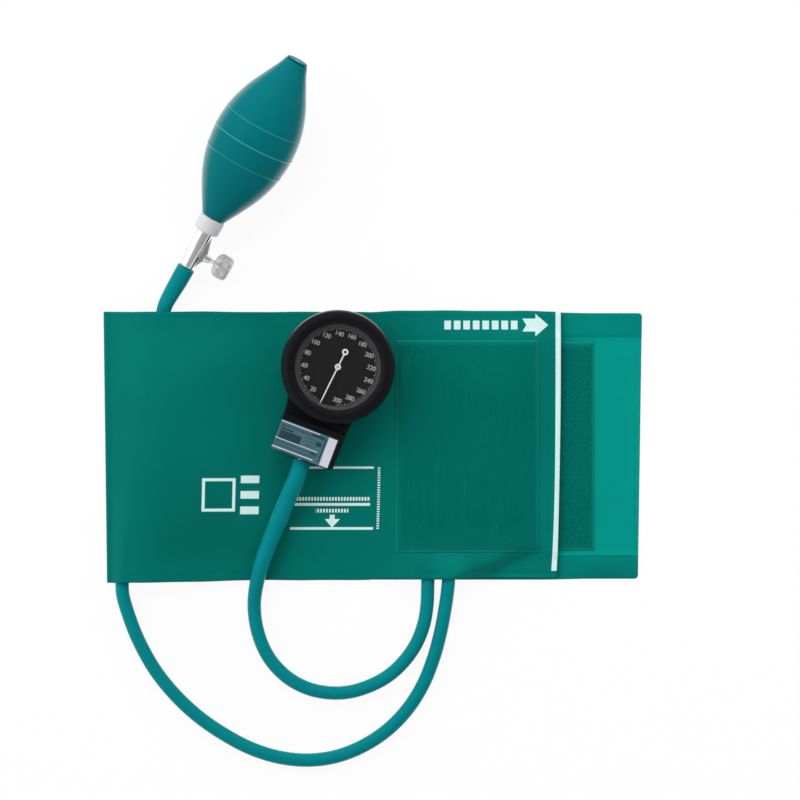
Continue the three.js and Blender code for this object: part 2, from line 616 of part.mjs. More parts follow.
// Case: a cup with a rounded back and a neck block that narrows to the hose
function caseBody() {
  const cup = turned([
    [0, 0], [CASE_BACK_R, 0], [CASE_R - 1.9, 1.4], [CASE_R - 0.4, 4.5], [CASE_R, 8],
    [CASE_R - 0.2, CASE_SHOULDER], [COLLAR_R, CASE_SHOULDER], [COLLAR_R, COLLAR_TOP],
    [CASE_WALL_R, COLLAR_TOP], [CASE_WALL_R, CASE_FLOOR + FLOOR_FILLET],
    [CASE_WALL_R - FLOOR_FILLET, CASE_FLOOR], [0, CASE_FLOOR],
  ], ROUND_SIDES);
  const outline = new THREE.Shape();
  outline.moveTo(-NECK_ROOT_HALF, -NECK_ROOT_Y);
  outline.quadraticCurveTo(-NECK_HALF, -NECK_NEAR + NECK_FLARE, -NECK_HALF, -NECK_NEAR);
  outline.lineTo(-NECK_HALF, -NECK_FAR + NECK_CORNER);
  outline.absarc(-NECK_HALF + NECK_CORNER, -NECK_FAR + NECK_CORNER, NECK_CORNER, Math.PI, 1.5 * Math.PI);
  outline.absarc(NECK_HALF - NECK_CORNER, -NECK_FAR + NECK_CORNER, NECK_CORNER, -Math.PI / 2, 0);
  outline.lineTo(NECK_HALF, -NECK_NEAR);
  outline.quadraticCurveTo(NECK_HALF, -NECK_NEAR + NECK_FLARE, NECK_ROOT_HALF, -NECK_ROOT_Y);
  outline.closePath();
  const neck = plate(outline, NECK_BOTTOM, NECK_TOP);
  const padOutline = roundedRectangle(-NECK_HALF, -NECK_FAR, NECK_HALF, -PAD_NEAR, NECK_CORNER);
  const pad = plate(padOutline, NECK_BOTTOM, PAD_TOP);
  const hollow = bar(CASE_WALL_R, CASE_FLOOR, COLLAR_TOP + 1, ROUND_SIDES);
  const posts = POST_ANGLES.map((angle) => {
    const [x, y] = onCircle(POST_CIRCLE, angle);
    return bar(POST_R, CASE_FLOOR / 2, BASE_PLATE_Z - GAP, 16).translate(x, y, 0);
  });
  const socket = bar(NIPPLE_R + GAP, -1, NIPPLE_IN + GAP, 20);
  socket.rotateX(-Math.PI / 2).translate(0, -NECK_FAR, NIPPLE_Z);
  const airWay = bar(NIPPLE_BORE_R, 0, NECK_FAR - CASE_WALL_R + 2, 12);
  airWay.rotateX(-Math.PI / 2).translate(0, -NECK_FAR, NIPPLE_Z);
  const rivetHoles = [-RIVET_X, RIVET_X].map((x) => (
    bar(RIVET_R + RUNNING, -1, CASE_FLOOR + 1, 16).translate(x, RIVET_Y, 0)
  ));
  const solidCup = join(cup, cut(join(neck, pad), hollow), ...posts);
  return cut(solidCup, socket, airWay, ...rivetHoles);
}

function frontRing() {
  const inner = COLLAR_R + GAP;
  return turned([
    [WINDOW_R, LIP_Z], [inner, LIP_Z], [inner, CASE_SHOULDER + GAP], [CASE_R - 0.5, CASE_SHOULDER + GAP],
    [CASE_R, RING_SIDE[0]], [CASE_R - 0.2, RING_SIDE[1]], [CASE_R - 1.2, LIP_Z - 0.9],
    [CASE_R - 3, LIP_Z + 0.9],
    [CASE_R - 5, LIP_Z + LIP_THICK], [WINDOW_R + 1.2, LIP_Z + LIP_THICK], [WINDOW_R, LIP_Z + 1],
  ], ROUND_SIDES);
}

// Gear outline with straight-sided teeth, each at a whole step from the +X direction
function toothPoints(teeth, count) {
  const pitchR = (GEAR_MODULE * teeth) / 2;
  const rootR = pitchR - TOOTH_ROOT * GEAR_MODULE;
  const tipR = pitchR + TOOTH_TIP * GEAR_MODULE;
  const step = (2 * Math.PI) / teeth;
  const half = step / 4 - MESHING / pitchR;
  const flank = (GEAR_MODULE * Math.tan(radians(PRESSURE_ANGLE))) / pitchR;
  const corners = [
    [rootR, -half - flank], [pitchR, -half], [tipR, -half + 0.8 * flank],
    [tipR, half - 0.8 * flank], [pitchR, half], [rootR, half + flank],
  ];
  const points = [];
  for (let k = 0; k < count; k += 1) {
    for (const [r, turn] of corners) {
      points.push(new THREE.Vector2(r * Math.cos(k * step + turn), r * Math.sin(k * step + turn)));
    }
  }
  return points;
}

// Sector: a toothed arc on a spoke, with a hub, a staff and a short tail for the rocker's finger
function sectorGear() {
  const step = (2 * Math.PI) / SECTOR_TEETH;
  const lastTurn = (SECTOR_CUT - 1) * step;
  const rimR = SECTOR_PITCH_R - TOOTH_ROOT * GEAR_MODULE - SECTOR_RIM;
  const rim = toothPoints(SECTOR_TEETH, SECTOR_CUT);
  for (let k = 0; k <= 6; k += 1) {
    const turn = lastTurn * (1 - k / 6);
    rim.push(new THREE.Vector2(rimR * Math.cos(turn), rimR * Math.sin(turn)));
  }
  const arc = plate(new THREE.Shape(rim), GEAR_Z, GEAR_TOP);
  const spokeLength = rimR + SECTOR_RIM / 2;
  const middle = GEAR_Z + GEAR_THICK / 2;
  const spoke = block([spokeLength, 2 * SECTOR_SPOKE_HALF, GEAR_THICK], [spokeLength / 2, 0, middle]);
  spoke.rotateZ(lastTurn / 2);
  const hub = bar(SECTOR_HUB_R, GEAR_Z - 0.4, GEAR_Z - 0.4 + SECTOR_HUB, 20);
  const staff = bar(STAFF_R, BASE_PLATE_Z + RUNNING, TOP_PLATE_Z + MOVEMENT_PLATE, 16);
  const body = join(arc, spoke, hub, staff).rotateZ(SECTOR_FACING - SECTOR_REST * step);
  const tail = block([SECTOR_TAIL, 2 * SECTOR_TAIL_HALF, GEAR_THICK], [-SECTOR_TAIL / 2, 0, middle]);
  return join(body, tail).translate(SECTOR_X, SECTOR_Y, 0);
}

function pinionStaff() {
  const outline = new THREE.Shape(toothPoints(PINION_TEETH, PINION_TEETH));
  const wheel = plate(outline, GEAR_Z - PINION_OVERHANG, GEAR_TOP + PINION_OVERHANG);
  wheel.rotateZ(SECTOR_FACING + Math.PI);
  const staff = bar(STAFF_R, BASE_PLATE_Z + RUNNING, POINTER_Z - GAP, 16);
  const collet = bar(COLLET_R, HAIRSPRING_Z - 0.1, HAIRSPRING_Z + HAIRSPRING_HIGH + 0.1, 20);
  return join(wheel, staff, collet);
}

function hairspring() {
  const steps = HAIRSPRING_TURNS * 14;
  const edge = (k, side) => {
    const middle = THREE.MathUtils.lerp(HAIRSPRING_IN, HAIRSPRING_OUT, k / steps);
    const radius = middle + (side * HAIRSPRING_WIRE) / 2;
    const turn = (k / steps) * HAIRSPRING_TURNS * 2 * Math.PI;
    return new THREE.Vector2(radius * Math.cos(turn), radius * Math.sin(turn));
  };
  const points = [];
  for (let k = 0; k <= steps; k += 1) points.push(edge(k, 1));
  for (let k = steps; k >= 0; k -= 1) points.push(edge(k, -1));
  return plate(new THREE.Shape(points), HAIRSPRING_Z, HAIRSPRING_Z + HAIRSPRING_HIGH);
}

// Rocker: a cross shaft with an arm over the capsule's pad and a finger up to the sector's tail
function rocker() {
  const shaft = bar(ROCKER_R, ...ROCKER_ENDS, 16).rotateY(Math.PI / 2).translate(0, ROCKER_Y, ROCKER_Z);
  const reach = ROCKER_ARM_PAST - ROCKER_Y;
  const arm = block([ROCKER_ARM_WIDTH, reach, ROCKER_ARM_THICK], [0, ROCKER_Y + reach / 2, ROCKER_Z]);
  const finger = bar(FINGER_R, ROCKER_Z, GEAR_TOP, 12).translate(FINGER_X, ROCKER_Y, 0);
  return join(shaft, arm, finger);
}

function basePlate() {
  const disc = bar(MOVEMENT_R, BASE_PLATE_Z, BASE_PLATE_Z + MOVEMENT_PLATE, 48);
  const ears = ROCKER_ENDS.map((end, k) => {
    const x = end + (k === 0 ? 1 : -1) * (BEARING_THICK / 2 + GAP);
    const z = BASE_PLATE_Z - BEARING_DROP / 2 + MOVEMENT_PLATE / 4;
    return block([BEARING_THICK, BEARING_WIDTH, BEARING_DROP + MOVEMENT_PLATE / 2], [x, ROCKER_Y, z]);
  });
  const bore = bar(ROCKER_R + RUNNING, ROCKER_ENDS[0] - 1, ROCKER_ENDS[1] + 1, 20).rotateY(Math.PI / 2);
  bore.translate(0, ROCKER_Y, ROCKER_Z);
  const through = [BASE_PLATE_Z - 1, BASE_PLATE_Z + MOVEMENT_PLATE + 1];
  const pinionHole = bar(STAFF_R + RUNNING, ...through, 16);
  const sectorHole = bar(STAFF_R + RUNNING, ...through, 16).translate(SECTOR_X, SECTOR_Y, 0);
  const slotWidth = 2 * (FINGER_R + GAP);
  const slotPlace = [FINGER_X, ROCKER_Y - FINGER_SWEEP / 2, BASE_PLATE_Z];
  const slot = block([slotWidth, slotWidth + FINGER_SWEEP, 4 * MOVEMENT_PLATE], slotPlace);
  return cut(join(disc, ...ears), bore, pinionHole, sectorHole, slot);
}

function topPlate() {
  const disc = bar(MOVEMENT_R, TOP_PLATE_Z, TOP_PLATE_Z + MOVEMENT_PLATE, 48);
  const stud = bar(STUD_R, HAIRSPRING_Z, TOP_PLATE_Z + MOVEMENT_PLATE / 2, 12);
  stud.translate(HAIRSPRING_OUT + HAIRSPRING_WIRE / 2 + GAP + STUD_R, 0, 0);
  const through = [TOP_PLATE_Z - 1, TOP_PLATE_Z + MOVEMENT_PLATE + 1];
  const pinionHole = bar(STAFF_R + RUNNING, ...through, 16);
  const sectorHole = bar(STAFF_R + RUNNING, ...through, 16).translate(SECTOR_X, SECTOR_Y, 0);
  const windows = LIGHTENING_ANGLES.map((angle) => {
    const [x, y] = onCircle(WINDOW_CIRCLE, angle);
    return bar(LIGHTENING_R, ...through, 16).translate(x, y, 0);
  });
  return cut(join(disc, stud), pinionHole, sectorHole, ...windows);
}

// Capsule: two dished diaphragms with ring waves, on a short foot
function capsule() {
  const low = CAPSULE_LOW + CAPSULE_FOOT;
  const high = low + CAPSULE_THICK;
  const waves = [[CAPSULE_R, 1.3], [13.4, 0.5], [11.8, 0.9], [10.2, 0.3], [8.6, 0.7], [7, 0.1], [5.4, 0.4]];
  return turned([
    [0, CAPSULE_LOW], [CAPSULE_FOOT_R, CAPSULE_LOW], [CAPSULE_FOOT_R, low],
    ...waves.map(([r, dip]) => [r, low + dip]).reverse(),
    ...waves.map(([r, dip]) => [r, high - dip]),
    [CAPSULE_FOOT_R, high], [0, high],
  ], 24);
}

function pointer() {
  const tail = -(POINTER_TAIL - POINTER_RING_R);
  const high = POINTER_Z + POINTER_THICK;
  const blade = new THREE.Shape([
    new THREE.Vector2(tail, -POINTER_WIDTH / 2), new THREE.Vector2(POINTER_TIP - 3, -POINTER_WIDTH / 2),
    new THREE.Vector2(POINTER_TIP, 0), new THREE.Vector2(POINTER_TIP - 3, POINTER_WIDTH / 2),
    new THREE.Vector2(tail, POINTER_WIDTH / 2),
  ]);
  const hub = bar(POINTER_HUB_R, POINTER_Z, high + 0.5, 24);
  const disc = bar(POINTER_RING_R, POINTER_Z, high, 24).translate(tail, 0, 0);
  const hole = bar(POINTER_RING_BORE, POINTER_Z - 1, high + 1, 16).translate(tail, 0, 0);
  return cut(join(plate(blade, POINTER_Z, high), hub, disc), hole).rotateZ(radians(90 - SCALE_ZERO));
}

function dial() {
  const disc = bar(DIAL_R, DIAL_Z, DIAL_Z + DIAL_THICK, ROUND_SIDES);
  const feet = POST_ANGLES.map((angle) => {
    const [x, y] = onCircle(DIAL_FOOT_CIRCLE, angle);
    const footLow = TOP_PLATE_Z + MOVEMENT_PLATE + GAP;
    return bar(DIAL_FOOT_R, footLow, DIAL_Z + DIAL_THICK / 2, 12).translate(x, y, 0);
  });
  return cut(join(disc, ...feet), bar(DIAL_BORE_R, DIAL_Z - 1, DIAL_Z + 2, 20));
}

function clip() {
  const footTop = -GAP;
  const profile = new THREE.Shape([
    [CLIP_FOOT[1], footTop - CLIP_THICK], [CLIP_FOOT[1], footTop], [CLIP_FOOT[0], footTop],
    [CLIP_FOOT[0] - CLIP_BEND, LEAF_TOP], [CLIP_TIP + 5, LEAF_TOP], [CLIP_TIP, LEAF_TOP + CLIP_LIFT],
    [CLIP_TIP, LEAF_LOW + CLIP_LIFT], [CLIP_TIP + 5, LEAF_LOW], [CLIP_FOOT[0] - CLIP_BEND - 0.4, LEAF_LOW],
    [CLIP_FOOT[0] - 0.4, footTop - CLIP_THICK],
  ].map(([y, z]) => new THREE.Vector2(y, z)));
  const strip = plate(profile, -CLIP_WIDTH / 2, CLIP_WIDTH / 2);
  strip.rotateX(Math.PI / 2).rotateZ(Math.PI / 2);
  const holes = [-RIVET_X, RIVET_X].map((x) => (
    bar(RIVET_R + RUNNING, footTop - CLIP_THICK - 1, footTop + 1, 16).translate(x, RIVET_Y, 0)
  ));
  return cut(strip, ...holes);
}

function rivet() {
  const under = -2 * GAP - CLIP_THICK;
  const inside = CASE_FLOOR + GAP;
  const crownR = RIVET_HEAD_R - 0.4;
  return turned([
    [0, under - RIVET_HEAD], [crownR, under - RIVET_HEAD], [RIVET_HEAD_R, under], [RIVET_R, under],
    [RIVET_R, inside], [RIVET_HEAD_R, inside], [crownR, inside + RIVET_HEAD], [0, inside + RIVET_HEAD],
  ], 12);
}

function buildGauge(parent) {
  const gauge = new THREE.Group();
  gauge.position.set(GAUGE_X, GAUGE_Y, GAUGE_Z);
  gauge.rotation.z = radians(GAUGE_TURN);
  parent.add(gauge);
  piece(gauge, 'gauge_case', caseBody(), BLACK_PLASTIC);
  piece(gauge, 'gauge_front_ring', frontRing(), BLACK_PLASTIC);
  const gasketLow = COLLAR_TOP + GAP;
  const gasket = ring(CASE_WALL_R + GAP, COLLAR_R, gasketLow, gasketLow + GASKET_THICK, ROUND_SIDES);
  piece(gauge, 'crystal_gasket', gasket, DARK_RUBBER);
  piece(gauge, 'crystal', bar(COLLAR_R, CRYSTAL_Z, CRYSTAL_Z + CRYSTAL_THICK, ROUND_SIDES), CLEAR);
  piece(gauge, 'dial', dial(), DIAL_BLACK);
  piece(gauge, 'pointer', pointer(), WHITE_PAINT);
  piece(gauge, 'pinion_staff', pinionStaff(), STEEL);
  piece(gauge, 'sector_gear', sectorGear(), BRASS);
  piece(gauge, 'hairspring', hairspring(), STEEL);
  piece(gauge, 'rocker_shaft', rocker(), STEEL);
  piece(gauge, 'movement_base_plate', basePlate(), BRASS);
  piece(gauge, 'movement_top_plate', topPlate(), BRASS);
  POST_ANGLES.forEach((angle, k) => {
    const [x, y] = onCircle(POST_CIRCLE, angle);
    const low = BASE_PLATE_Z + MOVEMENT_PLATE + GAP;
    const pillar = bar(POST_R, low, TOP_PLATE_Z - GAP, 16).translate(x, y, 0);
    piece(gauge, `movement_pillar_${k + 1}`, pillar, BRASS);
  });
  piece(gauge, 'pressure_capsule', capsule(), BRASS);
  const pad = join(
    bar(PAD_R, PAD_LOW, PAD_LOW + PAD_THICK, 20),
    bar(PAD_TIP_R, PAD_LOW + PAD_THICK / 2, PAD_LOW + PAD_THICK + PAD_TIP, 12),
  );
  piece(gauge, 'capsule_pad', pad, STEEL);
  const nipple = ring(NIPPLE_BORE_R, NIPPLE_R, -NIPPLE_OUT, NIPPLE_IN, 20);
  nipple.rotateX(-Math.PI / 2).translate(0, -NECK_FAR, NIPPLE_Z);
  piece(gauge, 'hose_nipple', nipple, CHROME);
  piece(gauge, 'back_clip', clip(), STEEL);
  [-RIVET_X, RIVET_X].forEach((x, k) => {
    piece(gauge, `clip_rivet_${k + 1}`, rivet().translate(x, RIVET_Y, 0), STEEL);
  });
  return gauge;
}

// Bulb outline: shares of its length and radii, front to tail
const BULB_OUTLINE = [
  [0, 7], [0.03, 8.6], [0.12, 13.4], [0.22, 18], [0.34, 21.5], [0.5, BULB_R],
  [0.63, 21.6], [0.76, 17.6], [0.87, 12.3], [0.95, 8.3], [1, 6.3],
];

// Bulb assembly: X runs along its axis from the valve's hose end, Z up across it
const COLLAR_X = VALVE_LENGTH + GAP;
const BULB_X = VALVE_LENGTH + COLLAR_LENGTH;
const INTAKE_X = BULB_X + BULB_LENGTH;

function bulbShell() {
  const curve = new THREE.CatmullRomCurve3(BULB_OUTLINE.map(([share, r]) => (
    new THREE.Vector3(BULB_X + GAP + share * (BULB_LENGTH - GAP), r, 0)
  )), false, 'centripetal');
  const outer = curve.getPoints(20).map((point) => [point.y, point.x]);
  const inner = outer.filter((point, k) => k % 2 === 0);
  const hollow = inner.map(([r, along]) => [Math.max(r - BULB_WALL, BULB_BORE_R), along]).reverse();
  return { solid: turned([...outer, ...hollow], BULB_SIDES), outer };
}

// The height of the valve's hose end at which the bulb's belly touches the surface below
function hoseEndHeight(outer) {
  const pitch = radians(BULB_PITCH);
  return -Math.min(...outer.map(([r, along]) => along * Math.sin(pitch) - r * Math.cos(pitch)));
}

function alongAxis(geometry) {
  return geometry.rotateY(Math.PI / 2);
}

function valveBody() {
  const shell = turned([
    [0, 0], [VALVE_FRONT_R, 0], [VALVE_BACK_R, VALVE_TAPER], [VALVE_BACK_R, VALVE_LENGTH],
    [SPIGOT_R, VALVE_LENGTH], [SPIGOT_R, VALVE_LENGTH + SPIGOT_LENGTH], [0, VALVE_LENGTH + SPIGOT_LENGTH],
  ], 32);
  const boss = bar(BOSS_ROOT_R, 0, BOSS_OUT, 28, BOSS_R).rotateX(Math.PI / 2);
  const chamber = bar(CHAMBER_R, CHAMBER_START, VALVE_LENGTH - CHAMBER_END, 24);
  const airWay = bar(AIR_WAY_R, -1, VALVE_LENGTH + SPIGOT_LENGTH + 1, 16);
  const hoseWay = bar(AIR_WAY_R, -1, CHAMBER_START + 1, 16);
  const screwBore = bar(SCREW_R + RUNNING, SCREW_TIP_AT - GAP, BOSS_OUT + 1, 20).rotateX(Math.PI / 2);
  const seatBore = bar(SCREW_R / 2, 0, SCREW_TIP_AT, 12).rotateX(Math.PI / 2);
  const vent = bar(VENT_R, 0, BOSS_R + 2, 10);
  const body = alongAxis(cut(shell, chamber, airWay));
  const side = boss.translate(BOSS_AT, 0, 0);
  const inside = alongAxis(join(chamber, hoseWay));
  const drilled = [
    screwBore.translate(BOSS_AT, 0, 0),
    seatBore.translate(BOSS_AT, 0, 0),
    vent.translate(BOSS_AT, -VENT_OUT, 0),
  ];
  return cut(join(body, cut(side, inside)), ...drilled);
}

function knob() {
  const outline = new THREE.Shape();
  const steps = KNOB_LOBES * 6;
  for (let k = 0; k < steps; k += 1) {
    const turn = (k / steps) * 2 * Math.PI;
    const radius = KNOB_R - (KNOB_LOBE_R / 2) * (1 - Math.cos(KNOB_LOBES * turn));
    if (k === 0) outline.moveTo(radius, 0);
    else outline.lineTo(radius * Math.cos(turn), radius * Math.sin(turn));
  }
  outline.closePath();
  const far = KNOB_NEAR + KNOB_THICK;
  const grip = plate(outline, KNOB_NEAR, far);
  const crown = turned([
    [0, KNOB_NEAR], [KNOB_R - 2.4, KNOB_NEAR], [KNOB_R - 1, KNOB_NEAR + 1], [KNOB_R + 1, KNOB_NEAR + 2],
    [KNOB_R + 1, far - 1.4], [KNOB_R - 1.4, far], [0, far],
  ], 32);
  return toGeometry(toSolid(grip).intersect(toSolid(crown)));
}

function buildBulb(parent) {
  const { solid, outer } = bulbShell();
  const bulb = new THREE.Group();
  const [pitch, turn] = [radians(BULB_PITCH), radians(BULB_TURN)];
  const reach = BULB_X * Math.cos(pitch);
  bulb.position.set(
    BULB_FRONT_X - reach * Math.cos(turn),
    BULB_FRONT_Y - reach * Math.sin(turn),
    hoseEndHeight(outer),
  );
  bulb.rotation.order = 'ZYX';
  bulb.rotation.set(0, -pitch, turn);
  parent.add(bulb);

  piece(bulb, 'bulb_shell', alongAxis(solid), TEAL_BULB);
  const collar = ring(SPIGOT_R + GAP, PLASTIC_COLLAR_R, COLLAR_X, BULB_X, 36);
  piece(bulb, 'bulb_collar', alongAxis(collar), GREY_PLASTIC);
  piece(bulb, 'valve_body', valveBody(), CHROME);
  const ballSeat = Math.sqrt(BALL_R ** 2 - AIR_WAY_R ** 2) + GAP;
  const ballAt = VALVE_LENGTH - CHAMBER_END - ballSeat;
  piece(bulb, 'valve_check_ball', new THREE.SphereGeometry(BALL_R, 12, 8).translate(ballAt, 0, 0), STEEL);
  const retainer = ring(RETAINER_BORE_R, RETAINER_R, RETAINER_AT, RETAINER_AT + RETAINER_LENGTH, 20);
  piece(bulb, 'check_ball_retainer', alongAxis(retainer), BRASS);

  const tip = bar(SCREW_R, SCREW_TIP_AT, SCREW_TIP_AT + TIP_LENGTH, 16).rotateX(Math.PI / 2);
  piece(bulb, 'release_tip', tip.translate(BOSS_AT, 0, 0), DARK_RUBBER);
  const screw = bar(SCREW_R, SCREW_TIP_AT + TIP_LENGTH + GAP, KNOB_NEAR - GAP, 16).rotateX(Math.PI / 2);
  piece(bulb, 'release_screw', screw.translate(BOSS_AT, 0, 0), CHROME);
  piece(bulb, 'release_knob', knob().rotateX(Math.PI / 2).translate(BOSS_AT, 0, 0), STEEL);

  const tailEnd = INTAKE_X + GAP;
  const intake = turned([
    [INTAKE_SEAT_R, tailEnd - INTAKE_CHAMBER + 1], [CHAMBER_R, tailEnd - INTAKE_CHAMBER + 1],
    [CHAMBER_R, tailEnd - INTAKE_LENGTH], [INTAKE_R, tailEnd - INTAKE_LENGTH], [INTAKE_R, tailEnd],
    [INTAKE_FLANGE_R, tailEnd], [INTAKE_FLANGE_R - 0.4, tailEnd + INTAKE_FLANGE],
    [CHAMBER_R, tailEnd + INTAKE_FLANGE], [CHAMBER_R, tailEnd + INTAKE_FLANGE - SCREEN_DEPTH],
    [INTAKE_SEAT_R, tailEnd + INTAKE_FLANGE - SCREEN_DEPTH],
  ], 28);
  piece(bulb, 'intake_valve_body', alongAxis(intake), GREY_PLASTIC);
  const discAt = tailEnd - INTAKE_CHAMBER + 1 - GAP;
  piece(bulb, 'intake_check_disc', alongAxis(bar(DISC_R, discAt - DISC_THICK, discAt, 20)), DARK_RUBBER);
  const screenAt = tailEnd + INTAKE_FLANGE - SCREEN_DEPTH + GAP;
  const screen = bar(CHAMBER_R - GAP, screenAt, screenAt + SCREEN_THICK, 20);
  piece(bulb, 'intake_screen', alongAxis(screen), STEEL);
  return bulb;
}

const assembly = new THREE.Group();
buildCuff(assembly);
buildGauge(assembly);
buildBulb(assembly);
piece(assembly, 'gauge_hose', hose(GAUGE_HOSE_ROUTE, 22), TEAL_HOSE);
piece(assembly, 'bulb_hose', hose(BULB_HOSE_ROUTE, 42), TEAL_HOSE);

export default assembly;
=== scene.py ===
"""Looks of an aneroid sphygmomanometer that lies flat: cuff, hoses, gauge and bulb."""
import logging
import math
from dataclasses import dataclass
from enum import Enum
from typing import Callable, Sequence

import bmesh
import bpy
import numpy as np
from mathutils import Matrix, Vector


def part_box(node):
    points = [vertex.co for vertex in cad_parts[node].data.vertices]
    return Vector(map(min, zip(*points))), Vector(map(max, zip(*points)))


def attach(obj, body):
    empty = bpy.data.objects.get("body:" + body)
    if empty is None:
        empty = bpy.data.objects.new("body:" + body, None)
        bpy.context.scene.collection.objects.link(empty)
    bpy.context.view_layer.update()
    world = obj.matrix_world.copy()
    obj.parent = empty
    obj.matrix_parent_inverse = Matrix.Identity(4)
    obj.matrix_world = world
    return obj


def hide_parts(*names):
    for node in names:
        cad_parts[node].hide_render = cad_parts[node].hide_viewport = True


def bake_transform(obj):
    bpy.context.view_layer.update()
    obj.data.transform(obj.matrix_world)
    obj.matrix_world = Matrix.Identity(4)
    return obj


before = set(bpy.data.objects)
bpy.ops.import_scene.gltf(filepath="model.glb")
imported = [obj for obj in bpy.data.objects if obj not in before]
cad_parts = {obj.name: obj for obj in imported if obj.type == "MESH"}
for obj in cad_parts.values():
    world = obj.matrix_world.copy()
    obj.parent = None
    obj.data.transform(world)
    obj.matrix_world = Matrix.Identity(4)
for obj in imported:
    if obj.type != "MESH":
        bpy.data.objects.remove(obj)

log = logging.getLogger("sphygmomanometer")

MM = 0.001
UPRIGHT = math.pi / 2
ON_AXIS = 1e-9
Point = tuple[float, float, float]
Flat = tuple[float, float]
Colour = tuple[float, float, float]
Spot = tuple[Flat, float, float]
Faces = list[list[int]]
Marks = tuple["Bar | Head", ...]
Height = Callable[[float, float], float]
Piece = bpy.types.Object
Material = bpy.types.Material
Socket = bpy.types.NodeSocket
Tree = bpy.types.NodeTree


class Ray(Enum):
    """The ways that an arrow head can point."""

    RIGHT = 0.0
    DOWN = -UPRIGHT


class Hold(Enum):
    """How a sheet of cloth is held."""

    LAID = "laid"
    FOLDED = "folded"


# Numbers and lines


def clamp(value: float, low: float = 0.0, high: float = 1.0) -> float:
    """Returns value kept between low and high."""
    return max(low, min(high, value))


def smooth(value: float) -> float:
    """Returns a soft step from 0 to 1 as value goes from 0 to 1."""
    share = clamp(value)
    return share * share * (3 - 2 * share)


def lerp(first: float, second: float, share: float) -> float:
    """Returns the value that lies share of the way from first to second."""
    return first + (second - first) * share


def bell(off: float, width: float) -> float:
    """Returns 1 at 0, falling softly to 0 beyond the width."""
    return math.exp(-((off / width) ** 2))


def swell(turn: float) -> float:
    """Returns a wave between 0 and 1."""
    return 0.5 + 0.5 * math.sin(turn)


def within(value: float, low: float, high: float, fade: float) -> float:
    """Returns 1 between low and high, falling softly to 0 over the distance fade outside them."""
    return smooth(1 + min(value - low, high - value) / fade)


def through(points: Sequence[Point], per_span: int) -> list[Vector]:
    """Runs a smooth curve through points.

    Args:
        points: the places that the curve passes.
        per_span: steps between one point and the next.

    Returns:
        The points of the curve, with its two ends.
    """
    route = [Vector(point) for point in points]
    route = [2 * route[0] - route[1], *route, 2 * route[-1] - route[-2]]
    curve = []
    for before, start, end, after in zip(route, route[1:], route[2:], route[3:]):
        steps = [math.sqrt((b - a).length) for a, b in ((before, start), (start, end), (end, after))]
        lead = (start - before) / steps[0] - (end - before) / (steps[0] + steps[1]) + (end - start) / steps[1]
        tail = (end - start) / steps[1] - (after - start) / (steps[1] + steps[2]) + (after - end) / steps[2]
        lead, tail = lead * steps[1], tail * steps[1]
        second = -3 * start + 3 * end - 2 * lead - tail
        third = 2 * start - 2 * end + lead + tail
        for k in range(per_span):
            t = k / per_span
            curve.append(start + lead * t + second * t * t + third * t * t * t)
    return [*curve, route[-2]]


def bend(start: Flat, middle: Flat, end: Flat, share: float) -> Flat:
    """Returns the point at a share of the curve from start to end that bends towards middle."""
    weights = (1 - share) ** 2, 2 * share * (1 - share), share * share
    return tuple(weights[0] * a + weights[1] * b + weights[2] * c for a, b, c in zip(start, middle, end))


# Meshes


def linked(name: str, data: bpy.types.ID) -> Piece:
    """Returns a new object of the scene that holds the data.

    Args:
        name: the object's name.
        data: its data.

    Returns:
        The object.
    """
    piece = bpy.data.objects.new(name, data)
    bpy.context.scene.collection.objects.link(piece)
    return piece


def new_piece(
    name: str, points: Sequence[Sequence[float]], faces: Sequence[Sequence[int]],
    finish: Material, place: Matrix | None = None,
) -> Piece:
    """Makes a closed piece from points in millimetres.

    Args:
        name: the piece's name.
        points: its vertices, in millimetres.
        faces: its faces, as vertex numbers.
        finish: its material.
        place: where its own axes stand in the object's frame, in millimetres.

    Returns:
        The new piece, whose mesh is in metres with its faces outwards.
    """
    mesh = bpy.data.meshes.new(name)
    move = place or Matrix.Identity(4)
    mesh.from_pydata([(move @ Vector(point)) * MM for point in points], [], [list(face) for face in faces])
    shape = bmesh.new()
    shape.from_mesh(mesh)
    bmesh.ops.remove_doubles(shape, verts=shape.verts, dist=1e-7)
    bmesh.ops.recalc_face_normals(shape, faces=shape.faces)
    shape.to_mesh(mesh)
    shape.free()
    mesh.shade_smooth()
    mesh.materials.append(finish)
    return linked(name, mesh)


def joined(name: str, meshes: Sequence[bpy.types.Mesh], finish: Material) -> Piece:
    """Joins several meshes, in metres, into one piece.

    Args:
        name: the piece's name.
        meshes: the meshes.
        finish: the piece's material.

    Returns:
        The piece.
    """
    shape = bmesh.new()
    for mesh in meshes:
        shape.from_mesh(mesh)
    bmesh.ops.remove_doubles(shape, verts=shape.verts, dist=1e-7)
    total = bpy.data.meshes.new(name)
    shape.to_mesh(total)
    shape.free()
    total.materials.clear()
    total.materials.append(finish)
    return linked(name, total)


def settled(piece: Piece) -> Piece:
    """Turns a piece's modifiers into plain mesh and removes them.

    Args:
        piece: the piece.

    Returns:
        The same piece.
    """
    graph = bpy.context.evaluated_depsgraph_get()
    mesh = bpy.data.meshes.new_from_object(piece.evaluated_get(graph))
    mesh.name = piece.name
    piece.modifiers.clear()
    piece.data = mesh
    return piece


def beveled(piece: Piece, width: float, segments: int = 3, angle: float = 35) -> Piece:
    """Rounds the sharp edges of a piece.

    Args:
        piece: the piece.
        width: the size of the rounding, in millimetres.
        segments: facets across it.
        angle: the least angle that counts as sharp, in degrees.

    Returns:
        The same piece, with smooth shading that keeps its flats flat.
    """
    bevel = piece.modifiers.new("rounding", "BEVEL")
    bevel.width = width * MM
    bevel.segments = segments
    bevel.limit_method = "ANGLE"
    bevel.angle_limit = math.radians(angle)
    bevel.harden_normals = True
    return settled(piece)


